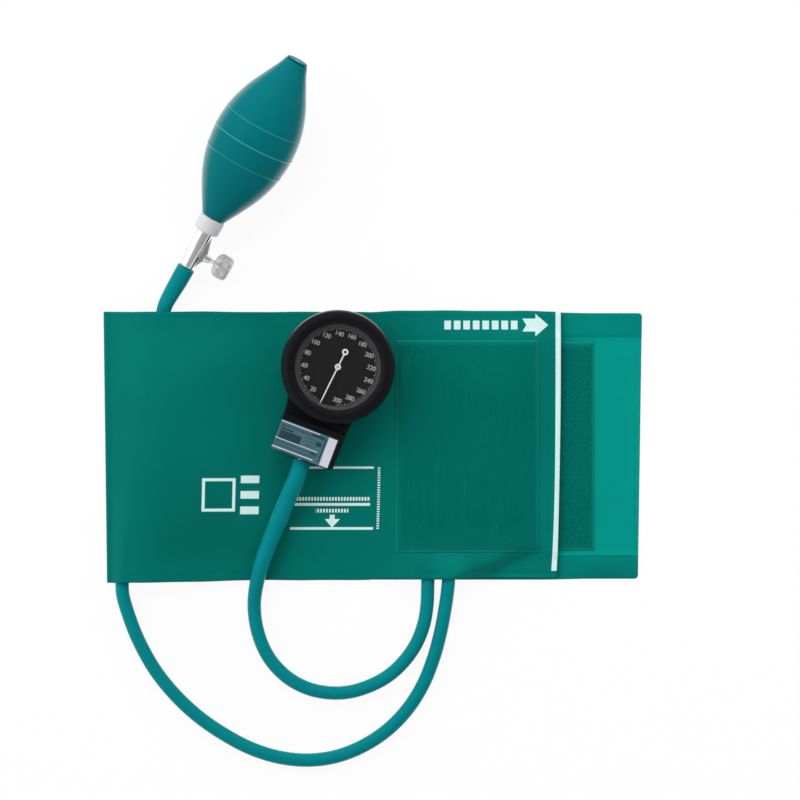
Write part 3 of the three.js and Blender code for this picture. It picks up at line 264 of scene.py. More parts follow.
def lathe(profile: Sequence[Flat], sides: int, shape: Height | None = None) -> tuple[list[Point], Faces]:
    """Turns a closed outline about Z.

    Args:
        profile: radius and height of each point, in millimetres.
        sides: facets round the axis.
        shape: gives a factor on the radius from the angle and the height.

    Returns:
        The points and faces of the turned shell.
    """
    points = []
    for k in range(sides):
        turn = 2 * math.pi * k / sides
        for radius, height in profile:
            reach = radius * (shape(turn, height) if shape else 1)
            points.append((reach * math.cos(turn), reach * math.sin(turn), height))
    count = len(profile)
    faces = []
    for k in range(sides):
        here, there = k * count, ((k + 1) % sides) * count
        for i in range(count):
            j = (i + 1) % count
            starts, ends = profile[i][0] < ON_AXIS, profile[j][0] < ON_AXIS
            if starts and not ends:
                faces.append([here + i, here + j, there + j])
            elif ends and not starts:
                faces.append([here + i, here + j, there + i])
            elif not starts:
                faces.append([here + i, here + j, there + j, there + i])
    return points, faces


def rounded(profile: Sequence[Flat], radius: float, steps: int = 4) -> list[Flat]:
    """Rounds the corners of a closed outline.

    Args:
        profile: the outline's corners.
        radius: how far from a corner its rounding starts.
        steps: facets across each rounding.

    Returns:
        The rounded outline. Corners on the axis stay.
    """
    result: list[Flat] = []
    for i, corner in enumerate(profile):
        here = Vector(corner)
        if here.x < ON_AXIS:
            result.append((here.x, here.y))
            continue
        before, after = Vector(profile[i - 1]) - here, Vector(profile[(i + 1) % len(profile)]) - here
        reach = min(radius, before.length * 0.45, after.length * 0.45)
        start, end = here + before.normalized() * reach, here + after.normalized() * reach
        for k in range(steps + 1):
            t = k / steps
            spot = start * (1 - t) ** 2 + here * 2 * t * (1 - t) + end * t * t
            result.append((spot.x, spot.y))
    return result


def prism(outline: Sequence[Flat], low: float, high: float) -> tuple[list[Point], Faces]:
    """Raises an outline from one height to another.

    Args:
        outline: the outline's points, anticlockwise.
        low: height of its underside.
        high: height of its top.

    Returns:
        The points and faces of the closed prism.
    """
    count = len(outline)
    points = [(x, y, z) for z in (low, high) for x, y in outline]
    walls = [[i, (i + 1) % count, count + (i + 1) % count, count + i] for i in range(count)]
    return points, [list(range(count))[::-1], list(range(count, 2 * count)), *walls]


def box_outline(x0: float, y0: float, x1: float, y1: float, radius: float, steps: int = 6) -> list[Flat]:
    """Gives a rectangle with round corners.

    Args:
        x0: left side.
        y0: lower side.
        x1: right side.
        y1: upper side.
        radius: radius of its corners.
        steps: facets round a corner.

    Returns:
        Its points, anticlockwise from its lower right corner.
    """
    left, right, low, high = x0 + radius, x1 - radius, y0 + radius, y1 - radius
    outline = []
    for x, y, first in ((right, low, -90), (right, high, 0), (left, high, 90), (left, low, 180)):
        for k in range(steps + 1):
            turn = math.radians(first + 90 * k / steps)
            outline.append((x + radius * math.cos(turn), y + radius * math.sin(turn)))
    return outline


def sheet_faces(rows: int, columns: int) -> Faces:
    """Gives the faces of a closed sheet: a lower grid of points, an upper one and the rim.

    Args:
        rows: lines of points across the sheet.
        columns: points in each line.

    Returns:
        The faces, as numbers of points.
    """
    layer = rows * columns
    faces = []
    for j in range(rows - 1):
        for i in range(columns - 1):
            a = j * columns + i
            faces.append([a, a + columns, a + columns + 1, a + 1])
            faces.append([layer + a, layer + a + 1, layer + a + columns + 1, layer + a + columns])
    rim = list(range(columns))
    rim += [(j + 1) * columns - 1 for j in range(1, rows)]
    rim += [(rows - 1) * columns + i for i in range(columns - 2, -1, -1)]
    rim += [j * columns for j in range(rows - 2, 0, -1)]
    return faces + [[a, b, layer + b, layer + a] for a, b in zip(rim, [*rim[1:], rim[0]])]


def loft_faces(rings: int, sides: int) -> Faces:
    """Gives the faces of a closed loft through rings of points.

    Args:
        rings: how many rings it has.
        sides: points in each ring.

    Returns:
        The faces, as numbers of points: the walls, then the two ends.
    """
    faces = []
    for j in range(rings - 1):
        for k in range(sides):
            a, b = j * sides + k, j * sides + (k + 1) % sides
            faces.append([a, b, b + sides, a + sides])
    return [*faces, list(range(sides)), list(range((rings - 1) * sides, rings * sides))]


def cloth_piece(
    name: str, columns: Sequence[float], rows: Sequence[float], spot: Callable[[float, float], Spot],
    finish: Material,
) -> Piece:
    """Makes a closed sheet over a grid.

    Args:
        name: the piece's name.
        columns: places of the grid along the cuff.
        rows: places of the grid across it.
        spot: gives a grid point's place seen from above, and the sheet's low and high level there.
        finish: its material.

    Returns:
        The sheet.
    """
    spots = [spot(x, y) for y in rows for x in columns]
    points = [(x, y, low) for (x, y), low, _ in spots] + [(x, y, high) for (x, y), _, high in spots]
    return new_piece(name, points, sheet_faces(len(rows), len(columns)), finish)


# Nodes


@dataclass
class NodeBoard:
    """Adds nodes to a tree and links them."""

    tree: Tree

    def add(self, kind: str, inputs: dict | None = None, **settings: object) -> bpy.types.Node:
        """Adds one node.

        Args:
            kind: the node's type.
            inputs: values or sockets for its inputs, by name or number.
            **settings: its own properties.

        Returns:
            The new node.
        """
        node = self.tree.nodes.new(kind)
        for name, value in settings.items():
            setattr(node, name, value)
        for key, value in (inputs or {}).items():
            if isinstance(value, Socket):
                self.tree.links.new(value, node.inputs[key])
            else:
                node.inputs[key].default_value = value
        return node

    def out(self, kind: str, inputs: dict | None = None, **settings: object) -> Socket:
        """Adds one node and returns its first output."""
        return self.add(kind, inputs, **settings).outputs[0]

    def math(self, operation: str, *values: object) -> Socket:
        """Adds a Math node and returns its result."""
        return self.out("ShaderNodeMath", dict(enumerate(values)), operation=operation)

    def vector(self, operation: str, *values: object, output: int = 0) -> Socket:
        """Adds a Vector Math node and returns the chosen output."""
        return self.add("ShaderNodeVectorMath", dict(enumerate(values)), operation=operation).outputs[output]

    def scaled(self, vector: Socket, gain: object) -> Socket:
        """Returns a vector or colour times a number."""
        return self.out("ShaderNodeVectorMath", {0: vector, "Scale": gain}, operation="SCALE")

    def split(self, vector: Socket) -> tuple[Socket, ...]:
        """Returns the three numbers of a vector."""
        return tuple(self.add("ShaderNodeSeparateXYZ", {0: vector}).outputs)

    def joint(self, x: object, y: object, z: object) -> Socket:
        """Returns the vector of three numbers."""
        return self.out("ShaderNodeCombineXYZ", {"X": x, "Y": y, "Z": z})

    def local(self, vector: Socket, place: object, turn: object, size: object = (1, 1, 1)) -> Socket:
        """Returns a vector as it reads on axes that are placed, turned and scaled."""
        inputs = {"Vector": vector, "Location": place, "Rotation": turn, "Scale": size}
        return self.out("ShaderNodeMapping", inputs, vector_type="TEXTURE")

    def noise(self, vector: Socket, scale: float, detail: float, rough: float = 0.5) -> Socket:
        """Returns soft noise, about 0.5."""
        inputs = {"Vector": vector, "Scale": scale, "Detail": detail, "Roughness": rough}
        return self.out("ShaderNodeTexNoise", inputs)

    def ramp(
        self, value: Socket, from_low: float, from_high: float, to_low: float = 0.0, to_high: float = 1.0
    ) -> Socket:
        """Maps a value from one range to another, with its ends held.

        Args:
            value: the value to map.
            from_low: start of its range.
            from_high: end of its range.
            to_low: result at the start.
            to_high: result at the end.

        Returns:
            The mapped value.
        """
        inputs = {0: value, 1: from_low, 2: from_high, 3: to_low, 4: to_high}
        return self.out("ShaderNodeMapRange", inputs)

    def blend(self, share: object, first: Socket | Colour, second: Socket | Colour) -> Socket:
        """Mixes two colours.

        Args:
            share: 0 for the first colour, 1 for the second.
            first: a colour or a socket.
            second: a colour or a socket.

        Returns:
            The mixed colour.
        """
        pair = [value if isinstance(value, Socket) else (*value, 1.0) for value in (first, second)]
        return self.add("ShaderNodeMix", {0: share, 6: pair[0], 7: pair[1]}, data_type="RGBA").outputs[2]

    def group(self, tree: Tree, values: dict[str, object]) -> Socket:
        """Places a node group with its values and returns its output."""
        return self.out("ShaderNodeGroup", values, node_tree=tree)


NUMBER, VECTOR, COLOUR = "NodeSocketFloat", "NodeSocketVector", "NodeSocketColor"
COUNT, MATERIAL, GEOMETRY = "NodeSocketInt", "NodeSocketMaterial", "NodeSocketGeometry"
PLACED = {"Position": VECTOR, "Place": VECTOR, "Turn": VECTOR}
PRINT_BLUR = 0.06
Given = bpy.types.NodeOutputs


def node_tree(
    kind: str, name: str, inputs: dict[str, str], output: tuple[str, str],
    fill: Callable[[NodeBoard, Given], Socket],
) -> Tree:
    """Builds a node tree once.

    Args:
        kind: the tree's type.
        name: its name.
        inputs: the socket type of each named input.
        output: the name and socket type of its one output.
        fill: adds the nodes and returns what the output gives.

    Returns:
        The tree, new or built before.
    """
    if name in bpy.data.node_groups:
        return bpy.data.node_groups[name]
    tree = bpy.data.node_groups.new(name, kind)
    tree.interface.new_socket(output[0], in_out="OUTPUT", socket_type=output[1])
    for label, socket_type in inputs.items():
        tree.interface.new_socket(label, in_out="INPUT", socket_type=socket_type)
    source, sink = tree.nodes.new("NodeGroupInput"), tree.nodes.new("NodeGroupOutput")
    tree.links.new(fill(NodeBoard(tree), source.outputs), sink.inputs[0])
    return tree


def weave_group() -> Tree:
    """Returns the group for a plain weave: threads that pass over and under each other."""

    def fill(board: NodeBoard, given: Given) -> Socket:
        """Adds two crossed sets of threads and returns their height.

        Args:
            board: the tree's board.
            given: the tree's inputs.

        Returns:
            The height.
        """
        x, y, _ = board.split(given["Position"])
        scale = board.math("DIVIDE", math.pi, given["Pitch"])
        x, y = (board.math("SINE", board.math("MULTIPLY", side, scale)) for side in (x, y))
        across, along = board.math("ABSOLUTE", x), board.math("ABSOLUTE", y)
        over = board.ramp(board.math("MULTIPLY", x, y), -0.2, 0.2)
        return board.out("ShaderNodeMix", {0: over, 2: across, 3: along}, data_type="FLOAT")

    plan = {"Position": VECTOR, "Pitch": NUMBER}
    return node_tree("ShaderNodeTree", "plain_weave", plan, ("Height", NUMBER), fill)


def mottle_group() -> Tree:
    """Returns the group that varies a colour softly, with fine specks in it."""

    def fill(board: NodeBoard, given: Given) -> Socket:
        """Adds broad patches and fine specks and returns the varied colour.

        Args:
            board: the tree's board.
            given: the tree's inputs.

        Returns:
            The varied colour.
        """
        patches = board.math("SUBTRACT", board.noise(given["Position"], 0.03, 3.0), 0.5)
        specks = board.math("SUBTRACT", board.noise(given["Position"], 1.3, 2.0), 0.5)
        patches = board.math("MULTIPLY", patches, given["Patches"])
        specks = board.math("MULTIPLY", specks, given["Specks"])
        gain = board.math("ADD", board.math("ADD", patches, specks), 1.0)
        return board.scaled(given["Colour"], gain)

    plan = {"Position": VECTOR, "Colour": COLOUR, "Patches": NUMBER, "Specks": NUMBER}
    return node_tree("ShaderNodeTree", "mottle", plan, ("Colour", COLOUR), fill)


def bar_group() -> Tree:
    """Returns the group that masks a bar of print, whole or in dashes."""

    def fill(board: NodeBoard, given: Given) -> Socket:
        """Adds the distance to a turned rectangle and its dashes, and returns the mask.

        Args:
            board: the tree's board.
            given: the tree's inputs.

        Returns:
            The mask.
        """
        local = board.local(given["Position"], given["Place"], given["Turn"])
        past = board.vector("SUBTRACT", board.vector("ABSOLUTE", local), given["Half size"])
        px, py, _ = board.split(past)
        inside = board.ramp(board.math("MAXIMUM", px, py), -PRINT_BLUR, PRINT_BLUR, 1.0, 0.0)
        x, _, _ = board.split(local)
        beat = board.math("FRACT", board.math("DIVIDE", x, given["Dash"]))
        return board.math("MULTIPLY", inside, board.math("LESS_THAN", beat, given["Filled"]))

    plan = {**PLACED, "Half size": VECTOR, "Dash": NUMBER, "Filled": NUMBER}
    return node_tree("ShaderNodeTree", "print_bar", plan, ("Mask", NUMBER), fill)


def head_group() -> Tree:
    """Returns the group that masks an arrow head of print."""

    def fill(board: NodeBoard, given: Given) -> Socket:
        """Adds the distance to a triangle with its tip at the place, and returns the mask.

        Args:
            board: the tree's board.
            given: the tree's inputs.

        Returns:
            The mask.
        """
        x, y, _ = board.split(board.local(given["Position"], given["Place"], given["Turn"]))
        back = board.math("MULTIPLY", x, -1.0)
        slope = board.math("DIVIDE", given["Half width"], given["Length"])
        side = board.math("SUBTRACT", board.math("ABSOLUTE", y), board.math("MULTIPLY", back, slope))
        end = board.math("SUBTRACT", back, given["Length"])
        return board.ramp(board.math("MAXIMUM", side, end), -PRINT_BLUR, PRINT_BLUR, 1.0, 0.0)

    plan = {**PLACED, "Length": NUMBER, "Half width": NUMBER}
    return node_tree("ShaderNodeTree", "print_head", plan, ("Mask", NUMBER), fill)


def patch_group() -> Tree:
    """Returns the group that masks a soft oval patch."""

    def fill(board: NodeBoard, given: Given) -> Socket:
        """Adds the distance from the middle as a share of the radii, and returns the mask.

        Args:
            board: the tree's board.
            given: the tree's inputs.

        Returns:
            The mask.
        """
        x, y, _ = board.split(board.local(given["Position"], given["Place"], given["Turn"], given["Radii"]))
        far = board.vector("LENGTH", board.joint(x, y, 0.0), output=1)
        inputs = {0: far, 1: 0.0, 2: 1.0, 3: 1.0, 4: 0.0}
        return board.out("ShaderNodeMapRange", inputs, interpolation_type="SMOOTHSTEP")

    return node_tree("ShaderNodeTree", "soft_patch", {**PLACED, "Radii": VECTOR}, ("Mask", NUMBER), fill)


@dataclass(frozen=True)
class Mark:
    """Something printed or shaded on a flat surface, placed in millimetres."""

    x: float
    y: float

    def placed(self, board: NodeBoard, tree: Tree, spot: Socket, turn: float, values: dict) -> Socket:
        """Adds the group that masks the mark.

        Args:
            board: the board of the material that carries it.
            tree: the group.
            spot: the place on the surface, in millimetres.
            turn: the mark's turn, in radians.
            values: the group's other values.

        Returns:
            A mask that is 1 on the mark.
        """
        inputs = {"Position": spot, "Place": (self.x, self.y, 0), "Turn": (0, 0, turn)}
        return board.group(tree, {**inputs, **values})


@dataclass(frozen=True)
class Bar(Mark):
    """A printed bar, whole or in dashes."""

    half_length: float
    half_width: float
    turn: float = 0.0
    dash: float = 1.0
    filled: float = 2.0

    def mask(self, board: NodeBoard, position: Socket) -> Socket:
        """Returns a mask that is 1 on the bar.

        Args:
            board: the material's board.
            position: the place on the surface, in millimetres.

        Returns:
            The mask.
        """
        half = (self.half_length, self.half_width, 1000)
        values = {"Half size": half, "Dash": self.dash, "Filled": self.filled}
        return self.placed(board, bar_group(), position, self.turn, values)


@dataclass(frozen=True)
class Head(Mark):
    """A printed arrow head with its tip at its place."""

    length: float
    half_width: float
    way: Ray = Ray.RIGHT

    def mask(self, board: NodeBoard, position: Socket) -> Socket:
        """Returns a mask that is 1 on the head."""
        values = {"Length": self.length, "Half width": self.half_width}
        return self.placed(board, head_group(), position, self.way.value, values)


@dataclass(frozen=True)
class Shade(Mark):
    """A soft patch of painted light on a cloth where its gain is above 0 and of painted shade where it is
    below 0, turned in degrees.
    """

    radius_x: float
    radius_y: float
    gain: float
    turn: float = 0.0

    def change(self, board: NodeBoard, position: Socket) -> Socket:
        """Returns how much painted light the patch adds, below 0 where it paints shade, and 0 outside it.

        Args:
            board: the material's board.
            position: the place on the surface, in millimetres.

        Returns:
            The change.
        """
        values = {"Radii": (self.radius_x, self.radius_y, 1)}
        mask = self.placed(board, patch_group(), position, math.radians(self.turn), values)
        return board.math("MULTIPLY", mask, self.gain)


def printed(board: NodeBoard, position: Socket, marks: Sequence[Bar | Head]) -> Socket:
    """Joins the masks of several marks.

    Args:
        board: the board of the material that they are printed on.
        position: the place on the surface, in millimetres.
        marks: the marks.

    Returns:
        A mask that is 1 on every mark.
    """
    total = marks[0].mask(board, position)
    for mark in marks[1:]:
        total = board.math("MAXIMUM", total, mark.mask(board, position))
    return total


def shaded(board: NodeBoard, position: Socket, colour: Socket, shades: Sequence[Shade]) -> Socket:
    """Paints light and shade into a colour in soft patches.

    Args:
        board: the material's board.
        position: the place on the surface, in millimetres.
        colour: the colour.
        shades: the patches of painted light and shade.

    Returns:
        The colour with its painted light and shade.
    """
    total: object = 1.0
    for shade in shades:
        total = board.math("ADD", total, shade.change(board, position))
    return board.scaled(colour, total)


# Finishes

RIM_SHINE = (0.42, 0.82)
RIM_IOR = 2.1
PRINT_COLOUR = (0.62, 0.83, 0.81)
LABEL_INK, LABEL_WHITE = (0.012, 0.05, 0.06), (0.60, 0.62, 0.70)


@dataclass
class Surface(NodeBoard):
    """A material's board, with its shader and the place on the surface in millimetres."""

    shader: bpy.types.Node
    position: Socket

    def feed(self, label: str, value: Socket) -> None:
        """Links a value to one of the shader's inputs."""
        self.tree.links.new(value, self.shader.inputs[label])

    def bump(self, height: Socket, depth: float, strength: float) -> None:
        """Feeds a height of a depth in millimetres into the shader's normal."""
        inputs = {"Height": height, "Distance": depth * MM, "Strength": strength}
        self.feed("Normal", self.out("ShaderNodeBump", inputs))


@dataclass(frozen=True)
class Finish:
    """A finish: its name and the values of its shader."""

    name: str
    colour: Colour
    roughness: float = 0.5
    specular: float = 0.5
    metallic: float = 0.0
    coat: float = 0.0
    patches: float = 0.15
    specks: float = 0.12

    def build(self) -> Material:
        """Returns the material: the shader's own values, then what the finish adds."""
        material = bpy.data.materials.new(self.name)
        material.use_nodes = True
        plain = NodeBoard(material.node_tree)
        shader = plain.tree.nodes["Principled BSDF"]
        values = {
            "Base Color": (*self.colour, 1.0), "Roughness": self.roughness, "Metallic": self.metallic,
            "Specular IOR Level": self.specular,
        }
        for label, value in values.items():
            shader.inputs[label].default_value = value
        position = plain.scaled(plain.add("ShaderNodeTexCoord").outputs["Object"], 1 / MM)
        board = Surface(plain.tree, shader, position)
        if self.coat:
            facing = board.add("ShaderNodeLayerWeight", {"Blend": 0.5}).outputs["Facing"]
            board.feed("Coat Weight", board.ramp(facing, *RIM_SHINE, 0.0, self.coat))
            shader.inputs["Coat IOR"].default_value = RIM_IOR
        self.paint(board)
        return material

    def paint(self, board: Surface) -> None:
        """Adds the finish's own nodes: here its mottled colour alone."""
        board.feed("Base Color", self.mottled(board, self.colour))

    def mottled(self, board: Surface, colour: Colour, position: Socket | None = None) -> Socket:
        """Varies a colour over the surface.

        Args:
            board: the material's board.
            colour: the colour.
            position: the place on the surface, where it isn't the board's own.

        Returns:
            The varied colour.
        """
        values = {
            "Position": board.position if position is None else position, "Colour": (*colour, 1.0),
            "Patches": self.patches, "Specks": self.specks,
        }
        return board.group(mottle_group(), values)


@dataclass(frozen=True)
class ClothFinish(Finish):
    """Coated nylon in a plain weave, with printed marks, soft patches of painted light and shade, and bands
    of another colour.
    """

    patches: float = 0.16
    specks: float = 0.10
    pitch: float = 0.5
    depth: float = 0.05
    marks: Marks = ()
    cuts: Marks = ()
    shades: tuple[Shade, ...] = ()
    bow: float = 0.0
    bands: tuple[Bar, ...] = ()
    band_colour: Colour = (0.0, 0.0, 0.0)
    print_roughness: float = 0.5

    def paint(self, board: Surface) -> None:
        """Adds the weave, the bands, the painted light and shade, and the print.

        Args:
            board: the material's board.
        """
        colour = self.mottled(board, self.colour)
        if self.bands:
            second = self.mottled(board, self.band_colour)
            colour = board.blend(printed(board, board.position, self.bands), colour, second)
        # Soft patches of painted light and shade.
        if self.shades:
            colour = shaded(board, board.position, colour, self.shades)
        height = board.group(weave_group(), {"Position": board.position, "Pitch": self.pitch})
        if self.marks:
            spot = self.bowed(board)
            uncut = board.math("SUBTRACT", 1.0, printed(board, spot, self.cuts))
            mask = board.math("MULTIPLY", printed(board, spot, self.marks), uncut)
            worn = board.ramp(board.noise(board.position, 1.6, 3.0), 0.28, 0.36, 0.82, 1.0)
            colour = board.blend(board.math("MULTIPLY", mask, worn), colour, PRINT_COLOUR)
            height = board.math("ADD", height, mask)
            board.feed("Roughness", board.ramp(mask, 0, 1, self.roughness, self.print_roughness))
        board.feed("Base Color", colour)
        board.bump(height, self.depth, 0.6)

    def bowed(self, board: Surface) -> Socket:
        """Returns the place of the print, which bows with the cloth towards its lower edge.

        Args:
            board: the material's board.

        Returns:
            The place, in millimetres.
        """
        x, y, z = board.split(board.position)
        low = board.ramp(y, CUFF_WIDTH / 2, -CUFF_WIDTH / 2)
        moved = board.math("ADD", x, board.math("MULTIPLY", board.math("POWER", low, 4.0), self.bow))
        return board.joint(moved, y, z)


@dataclass(frozen=True)
class PileFinish(Finish):
    """Brushed tape: a soft pile combed one way, flatter along its sewn border with a paler edge, that can
    carry soft patches of painted light and shade.
    """

    patches: float = 0.12
    specks: float = 0.25
    outer: Bar = Bar(0, 0, 0, 0)
    inner: Bar = Bar(0, 0, 0, 0)
    comb: float = 2.0
    streaks: float = 0.34
    worn: tuple[Shade, ...] = ()

    def paint(self, board: Surface) -> None:
        """Adds the combed pile, the border, its edge and the painted light and shade.

        Args:
            board: the material's board.
        """
        inputs = {"Vector": board.position, "Scale": (0.55, 0.03, 1.0)}
        combed = board.noise(board.out("ShaderNodeMapping", inputs), self.comb, 4.0)
        tufts = board.out("ShaderNodeTexVoronoi", {"Vector": board.position, "Scale": 2.6})
        inside = self.inner.mask(board, board.position)
        line = board.math("MULTIPLY", board.ramp(combed, 0.56, 0.72), self.streaks)
        broad = board.ramp(board.noise(board.position, 0.02, 1.0), 0.35, 0.6)
        line = board.math("MULTIPLY", line, broad)
        streaked = board.blend(line, self.mottled(board, self.colour), self.paler(1.6, 0.008))
        edge, border = self.paler(1.45, 0.004), self.paler(1.12, 0.001)
        rim = board.blend(self.outer.mask(board, board.position), edge, border)
        # The tape's painted light and shade, given as soft patches.
        board.feed("Base Color", shaded(board, board.position, board.blend(inside, rim, streaked), self.worn))
        height = board.math("ADD", combed, board.math("MULTIPLY", tufts, 0.7))
        board.bump(board.math("MULTIPLY", height, board.ramp(inside, 0, 1, 0.35, 1.0)), 0.22, 0.5)

    def paler(self, gain: float, more: float) -> Colour:
        """Returns the colour times a gain, with a little more."""
        return tuple(part * gain + more for part in self.colour)


@dataclass(frozen=True)
class RubberFinish(Finish):
    """Smooth rubber with a bloom, faint pores and light lines across its own axis."""

    patches: float = 0.14
    specks: float = 0.05
    lines: tuple[float, ...] = ()
    line_half: float = 0.3
    line_colour: Colour = (0.10, 0.42, 0.42)
    place: Matrix | None = None

    def paint(self, board: Surface) -> None:
        """Adds the bloom, the pores and the lines, of which the middle one is the strongest.

        Args:
            board: the material's board.
        """
        colour = self.mottled(board, self.colour)
        if self.lines:
            local = board.local(board.position, self.place.translation, self.place.to_euler("XYZ"))
            along, _, _ = board.split(local)
            total: object = 0.0
            for k, spot in enumerate(self.lines):
                off = board.math("ABSOLUTE", board.math("SUBTRACT", along, spot))
                weight = 0.7 if k == len(self.lines) // 2 else 0.35
                one = board.ramp(off, self.line_half * 0.5, self.line_half, 1.0, 0.0)
                total = board.math("MAXIMUM", total, board.math("MULTIPLY", one, weight))
            colour = board.blend(total, colour, self.line_colour)
        board.feed("Base Color", colour)
        pores = board.noise(board.position, 1.4, 4.0)
        board.feed("Roughness", board.ramp(pores, 0.3, 0.7, self.roughness - 0.05, self.roughness + 0.07))
        board.bump(pores, 0.05, 0.35)


@dataclass(frozen=True)
class PlasticFinish(Finish):
    """Moulded plastic with a fine spark texture and slightly polished patches."""

    def paint(self, board: Surface) -> None:
        """Adds the spark texture and the polish.

        Args:
            board: the material's board.
        """
        super().paint(board)
        broad = board.noise(board.position, 0.09, 2.0)
        board.feed("Roughness", board.ramp(broad, 0.35, 0.65, self.roughness - 0.06, self.roughness + 0.06))
        board.bump(board.noise(board.position, 2.2, 5.0, 0.7), 0.03, 0.5)


@dataclass(frozen=True)
class MetalFinish(Finish):
    """Metal with fine tool marks along one direction and faint handling marks."""

    metallic: float = 1.0
    patches: float = 0.10
    specks: float = 0.04
    marks: tuple[float, float, float] = (0.4, 6.0, 6.0)
    spread: float = 0.08
    depth: float = 0.01

    def paint(self, board: Surface) -> None:
        """Adds the tool marks and the handling marks.

        Args:
            board: the material's board.
        """
        super().paint(board)
        drawn = board.out("ShaderNodeMapping", {"Vector": board.position, "Scale": self.marks})
        tool, touch = board.noise(drawn, 1.0, 3.0), board.noise(board.position, 0.35, 3.0)
        mixed = board.math("MULTIPLY", board.math("ADD", tool, touch), 0.5)
        low, high = max(0.02, self.roughness - self.spread), self.roughness + self.spread
        board.feed("Roughness", board.ramp(mixed, 0.35, 0.65, low, high))
        board.bump(tool, self.depth, 0.4)


@dataclass(frozen=True)
class LabelFinish(Finish):
    """A foil label with plain bars in place of print."""

    patches: float = 0.5
    specks: float = 0.25
    place: Matrix | None = None
    dark_marks: tuple[Bar, ...] = ()
    white_marks: tuple[Bar, ...] = ()

    def paint(self, board: Surface) -> None:
        """Adds the foil's clouds, the bars and the creases.

        Args:
            board: the material's board.
        """
        local = board.local(board.position, self.place.translation, self.place.to_euler("XYZ"))
        colour = self.mottled(board, self.colour, local)
        colour = board.blend(printed(board, local, self.dark_marks), colour, LABEL_INK)
        board.feed("Base Color", board.blend(printed(board, local, self.white_marks), colour, LABEL_WHITE))
        board.bump(board.noise(local, 0.5, 3.0), 0.12, 0.5)


@dataclass(frozen=True)
class GlassFinish(Finish):
    """A clear crystal that lets the lamps' light through to the dial."""

    ior: float = 1.22

    def paint(self, board: Surface) -> None:
        """Adds the smears and the clear shadow.

        Args:
            board: the material's board.
        """
        board.shader.inputs["Transmission Weight"].default_value = 1.0
        board.shader.inputs["IOR"].default_value = self.ior
        board.feed("Roughness", board.ramp(board.noise(board.position, 0.2, 3.0), 0.4, 0.7, 0.0, 0.04))
        clear = board.out("ShaderNodeBsdfTransparent")
        shadow = board.add("ShaderNodeLightPath").outputs["Is Shadow Ray"]
        both = board.out("ShaderNodeMixShader", {0: shadow, 1: board.shader.outputs[0], 2: clear})
        board.tree.links.new(both, board.tree.nodes["Material Output"].inputs["Surface"])


@dataclass(frozen=True)
class DialFinish(Finish):
    """Flat dial paint."""

    patches: float = 0.2
    specks: float = 0.2

    def paint(self, board: Surface) -> None:
        """Adds the paint's grain."""
        super().paint(board)
        board.bump(board.noise(board.position, 4.0, 4.0), 0.01, 0.4)


CUFF_WIDTH = 145.0
CUFF_MARKS: Marks = (
    Bar(100.25, 2.6, 1.42, 70.2),
    Head(94.9, 65.5, 7.0, 6.1),
    Bar(84.9, 65.5, 4.0, 3.5),
    Bar(59.2, 65.5, 20.6, 2.4, dash=5.15, filled=0.7),
    Bar(-16.9, -11.7, 17.6, 0.6),
    Bar(-21.6, -31.6, 20.7, 0.75),
    Bar(-21.6, -28.6, 20.8, 1.0, dash=1.6, filled=0.62),
    Bar(-21.4, -35.0, 8.8, 1.0, dash=1.6, filled=0.62),
    Bar(-21.4, -44.6, 22.5, 0.7),
    Bar(-21.2, -38.4, 1.35, 1.2),
    Head(-21.1, -44.2, 4.7, 4.1, Ray.DOWN),
    Bar(3.6, -28.0, 16.9, 0.7, UPRIGHT, 1.3, 0.55),
    Bar(-82.9, -26.4, 9.0, 9.0),
    Bar(-66.1, -28.5, 12.5, 5.0, UPRIGHT, 8.4, 0.5),
)
CUFF_CUTS: Marks = (Head(83.0, 65.5, 4.0, 6.6), Bar(-82.9, -26.4, 7.4, 7.4))
# Painted light and shade on the cuff: lighter at its top left, top right and right side and to the right of
# the hoses, darker at its lower left, a painted pool of light where the cloth swells over the hoses and a
# thin painted highlight along its lower edge right of them.
CUFF_SHADES: tuple[Shade, ...] = (
    Shade(-118, 52, 70, 45, 0.09),
    Shade(96, -38, 34, 52, 0.13),
    Shade(-92, -38, 72, 48, -0.12),
    Shade(64, 70, 76, 26, 0.26),
    Shade(42, -64, 17, 15, 0.26),
    Shade(76, -64.5, 26, 9, 0.10, 12),
    Shade(78, -70.2, 28, 1.6, 0.3),
)
# Painted light and shade on the tail: darker at its lower edge, a little lighter at its top and along its
# end.
TAIL_SHADES = (Shade(125, -72, 40, 16, -0.24), Shade(124, 60, 30, 20, 0.05), Shade(143, 0, 7, 75, 0.04))
TAIL_BANDS = (Bar(0, 66.2, 200, 7.4), Bar(0, -66.2, 200, 6.8), Bar(-60, 0, 154, 80))
# Painted light and shade on the loop tape: lighter towards its top, darker towards its bottom.
LOOP_SHADES = (Shade(52, 52, 60, 40, 0.10), Shade(52, -50, 60, 30, -0.06))
OUTER_CLOTH = ClothFinish(
    "outer_cloth", (0.0003, 0.152, 0.127), 0.62, 0.03,
    marks=CUFF_MARKS, cuts=CUFF_CUTS, shades=CUFF_SHADES, bow=2.6,
)
LINING_CLOTH = ClothFinish("lining_cloth", (0.0003, 0.135, 0.112), 0.7, 0.04, pitch=0.55)
TAIL_CLOTH = ClothFinish(
    "tail_cloth", (0.0004, 0.272, 0.229), 0.62, 0.03,
    shades=TAIL_SHADES, bands=TAIL_BANDS, band_colour=(0.0005, 0.205, 0.175),
)
THREAD = ClothFinish("thread", (0.001, 0.185, 0.155), 0.7, 0.05, pitch=0.25, depth=0.03)
LOOP_PILE = PileFinish(
    "loop_pile", (0.0004, 0.128, 0.102), 0.9, 0.02,
    outer=Bar(50.9, 0, 37.75, 56.4), inner=Bar(50.9, 0.3, 35.6, 54.6), worn=LOOP_SHADES,
)
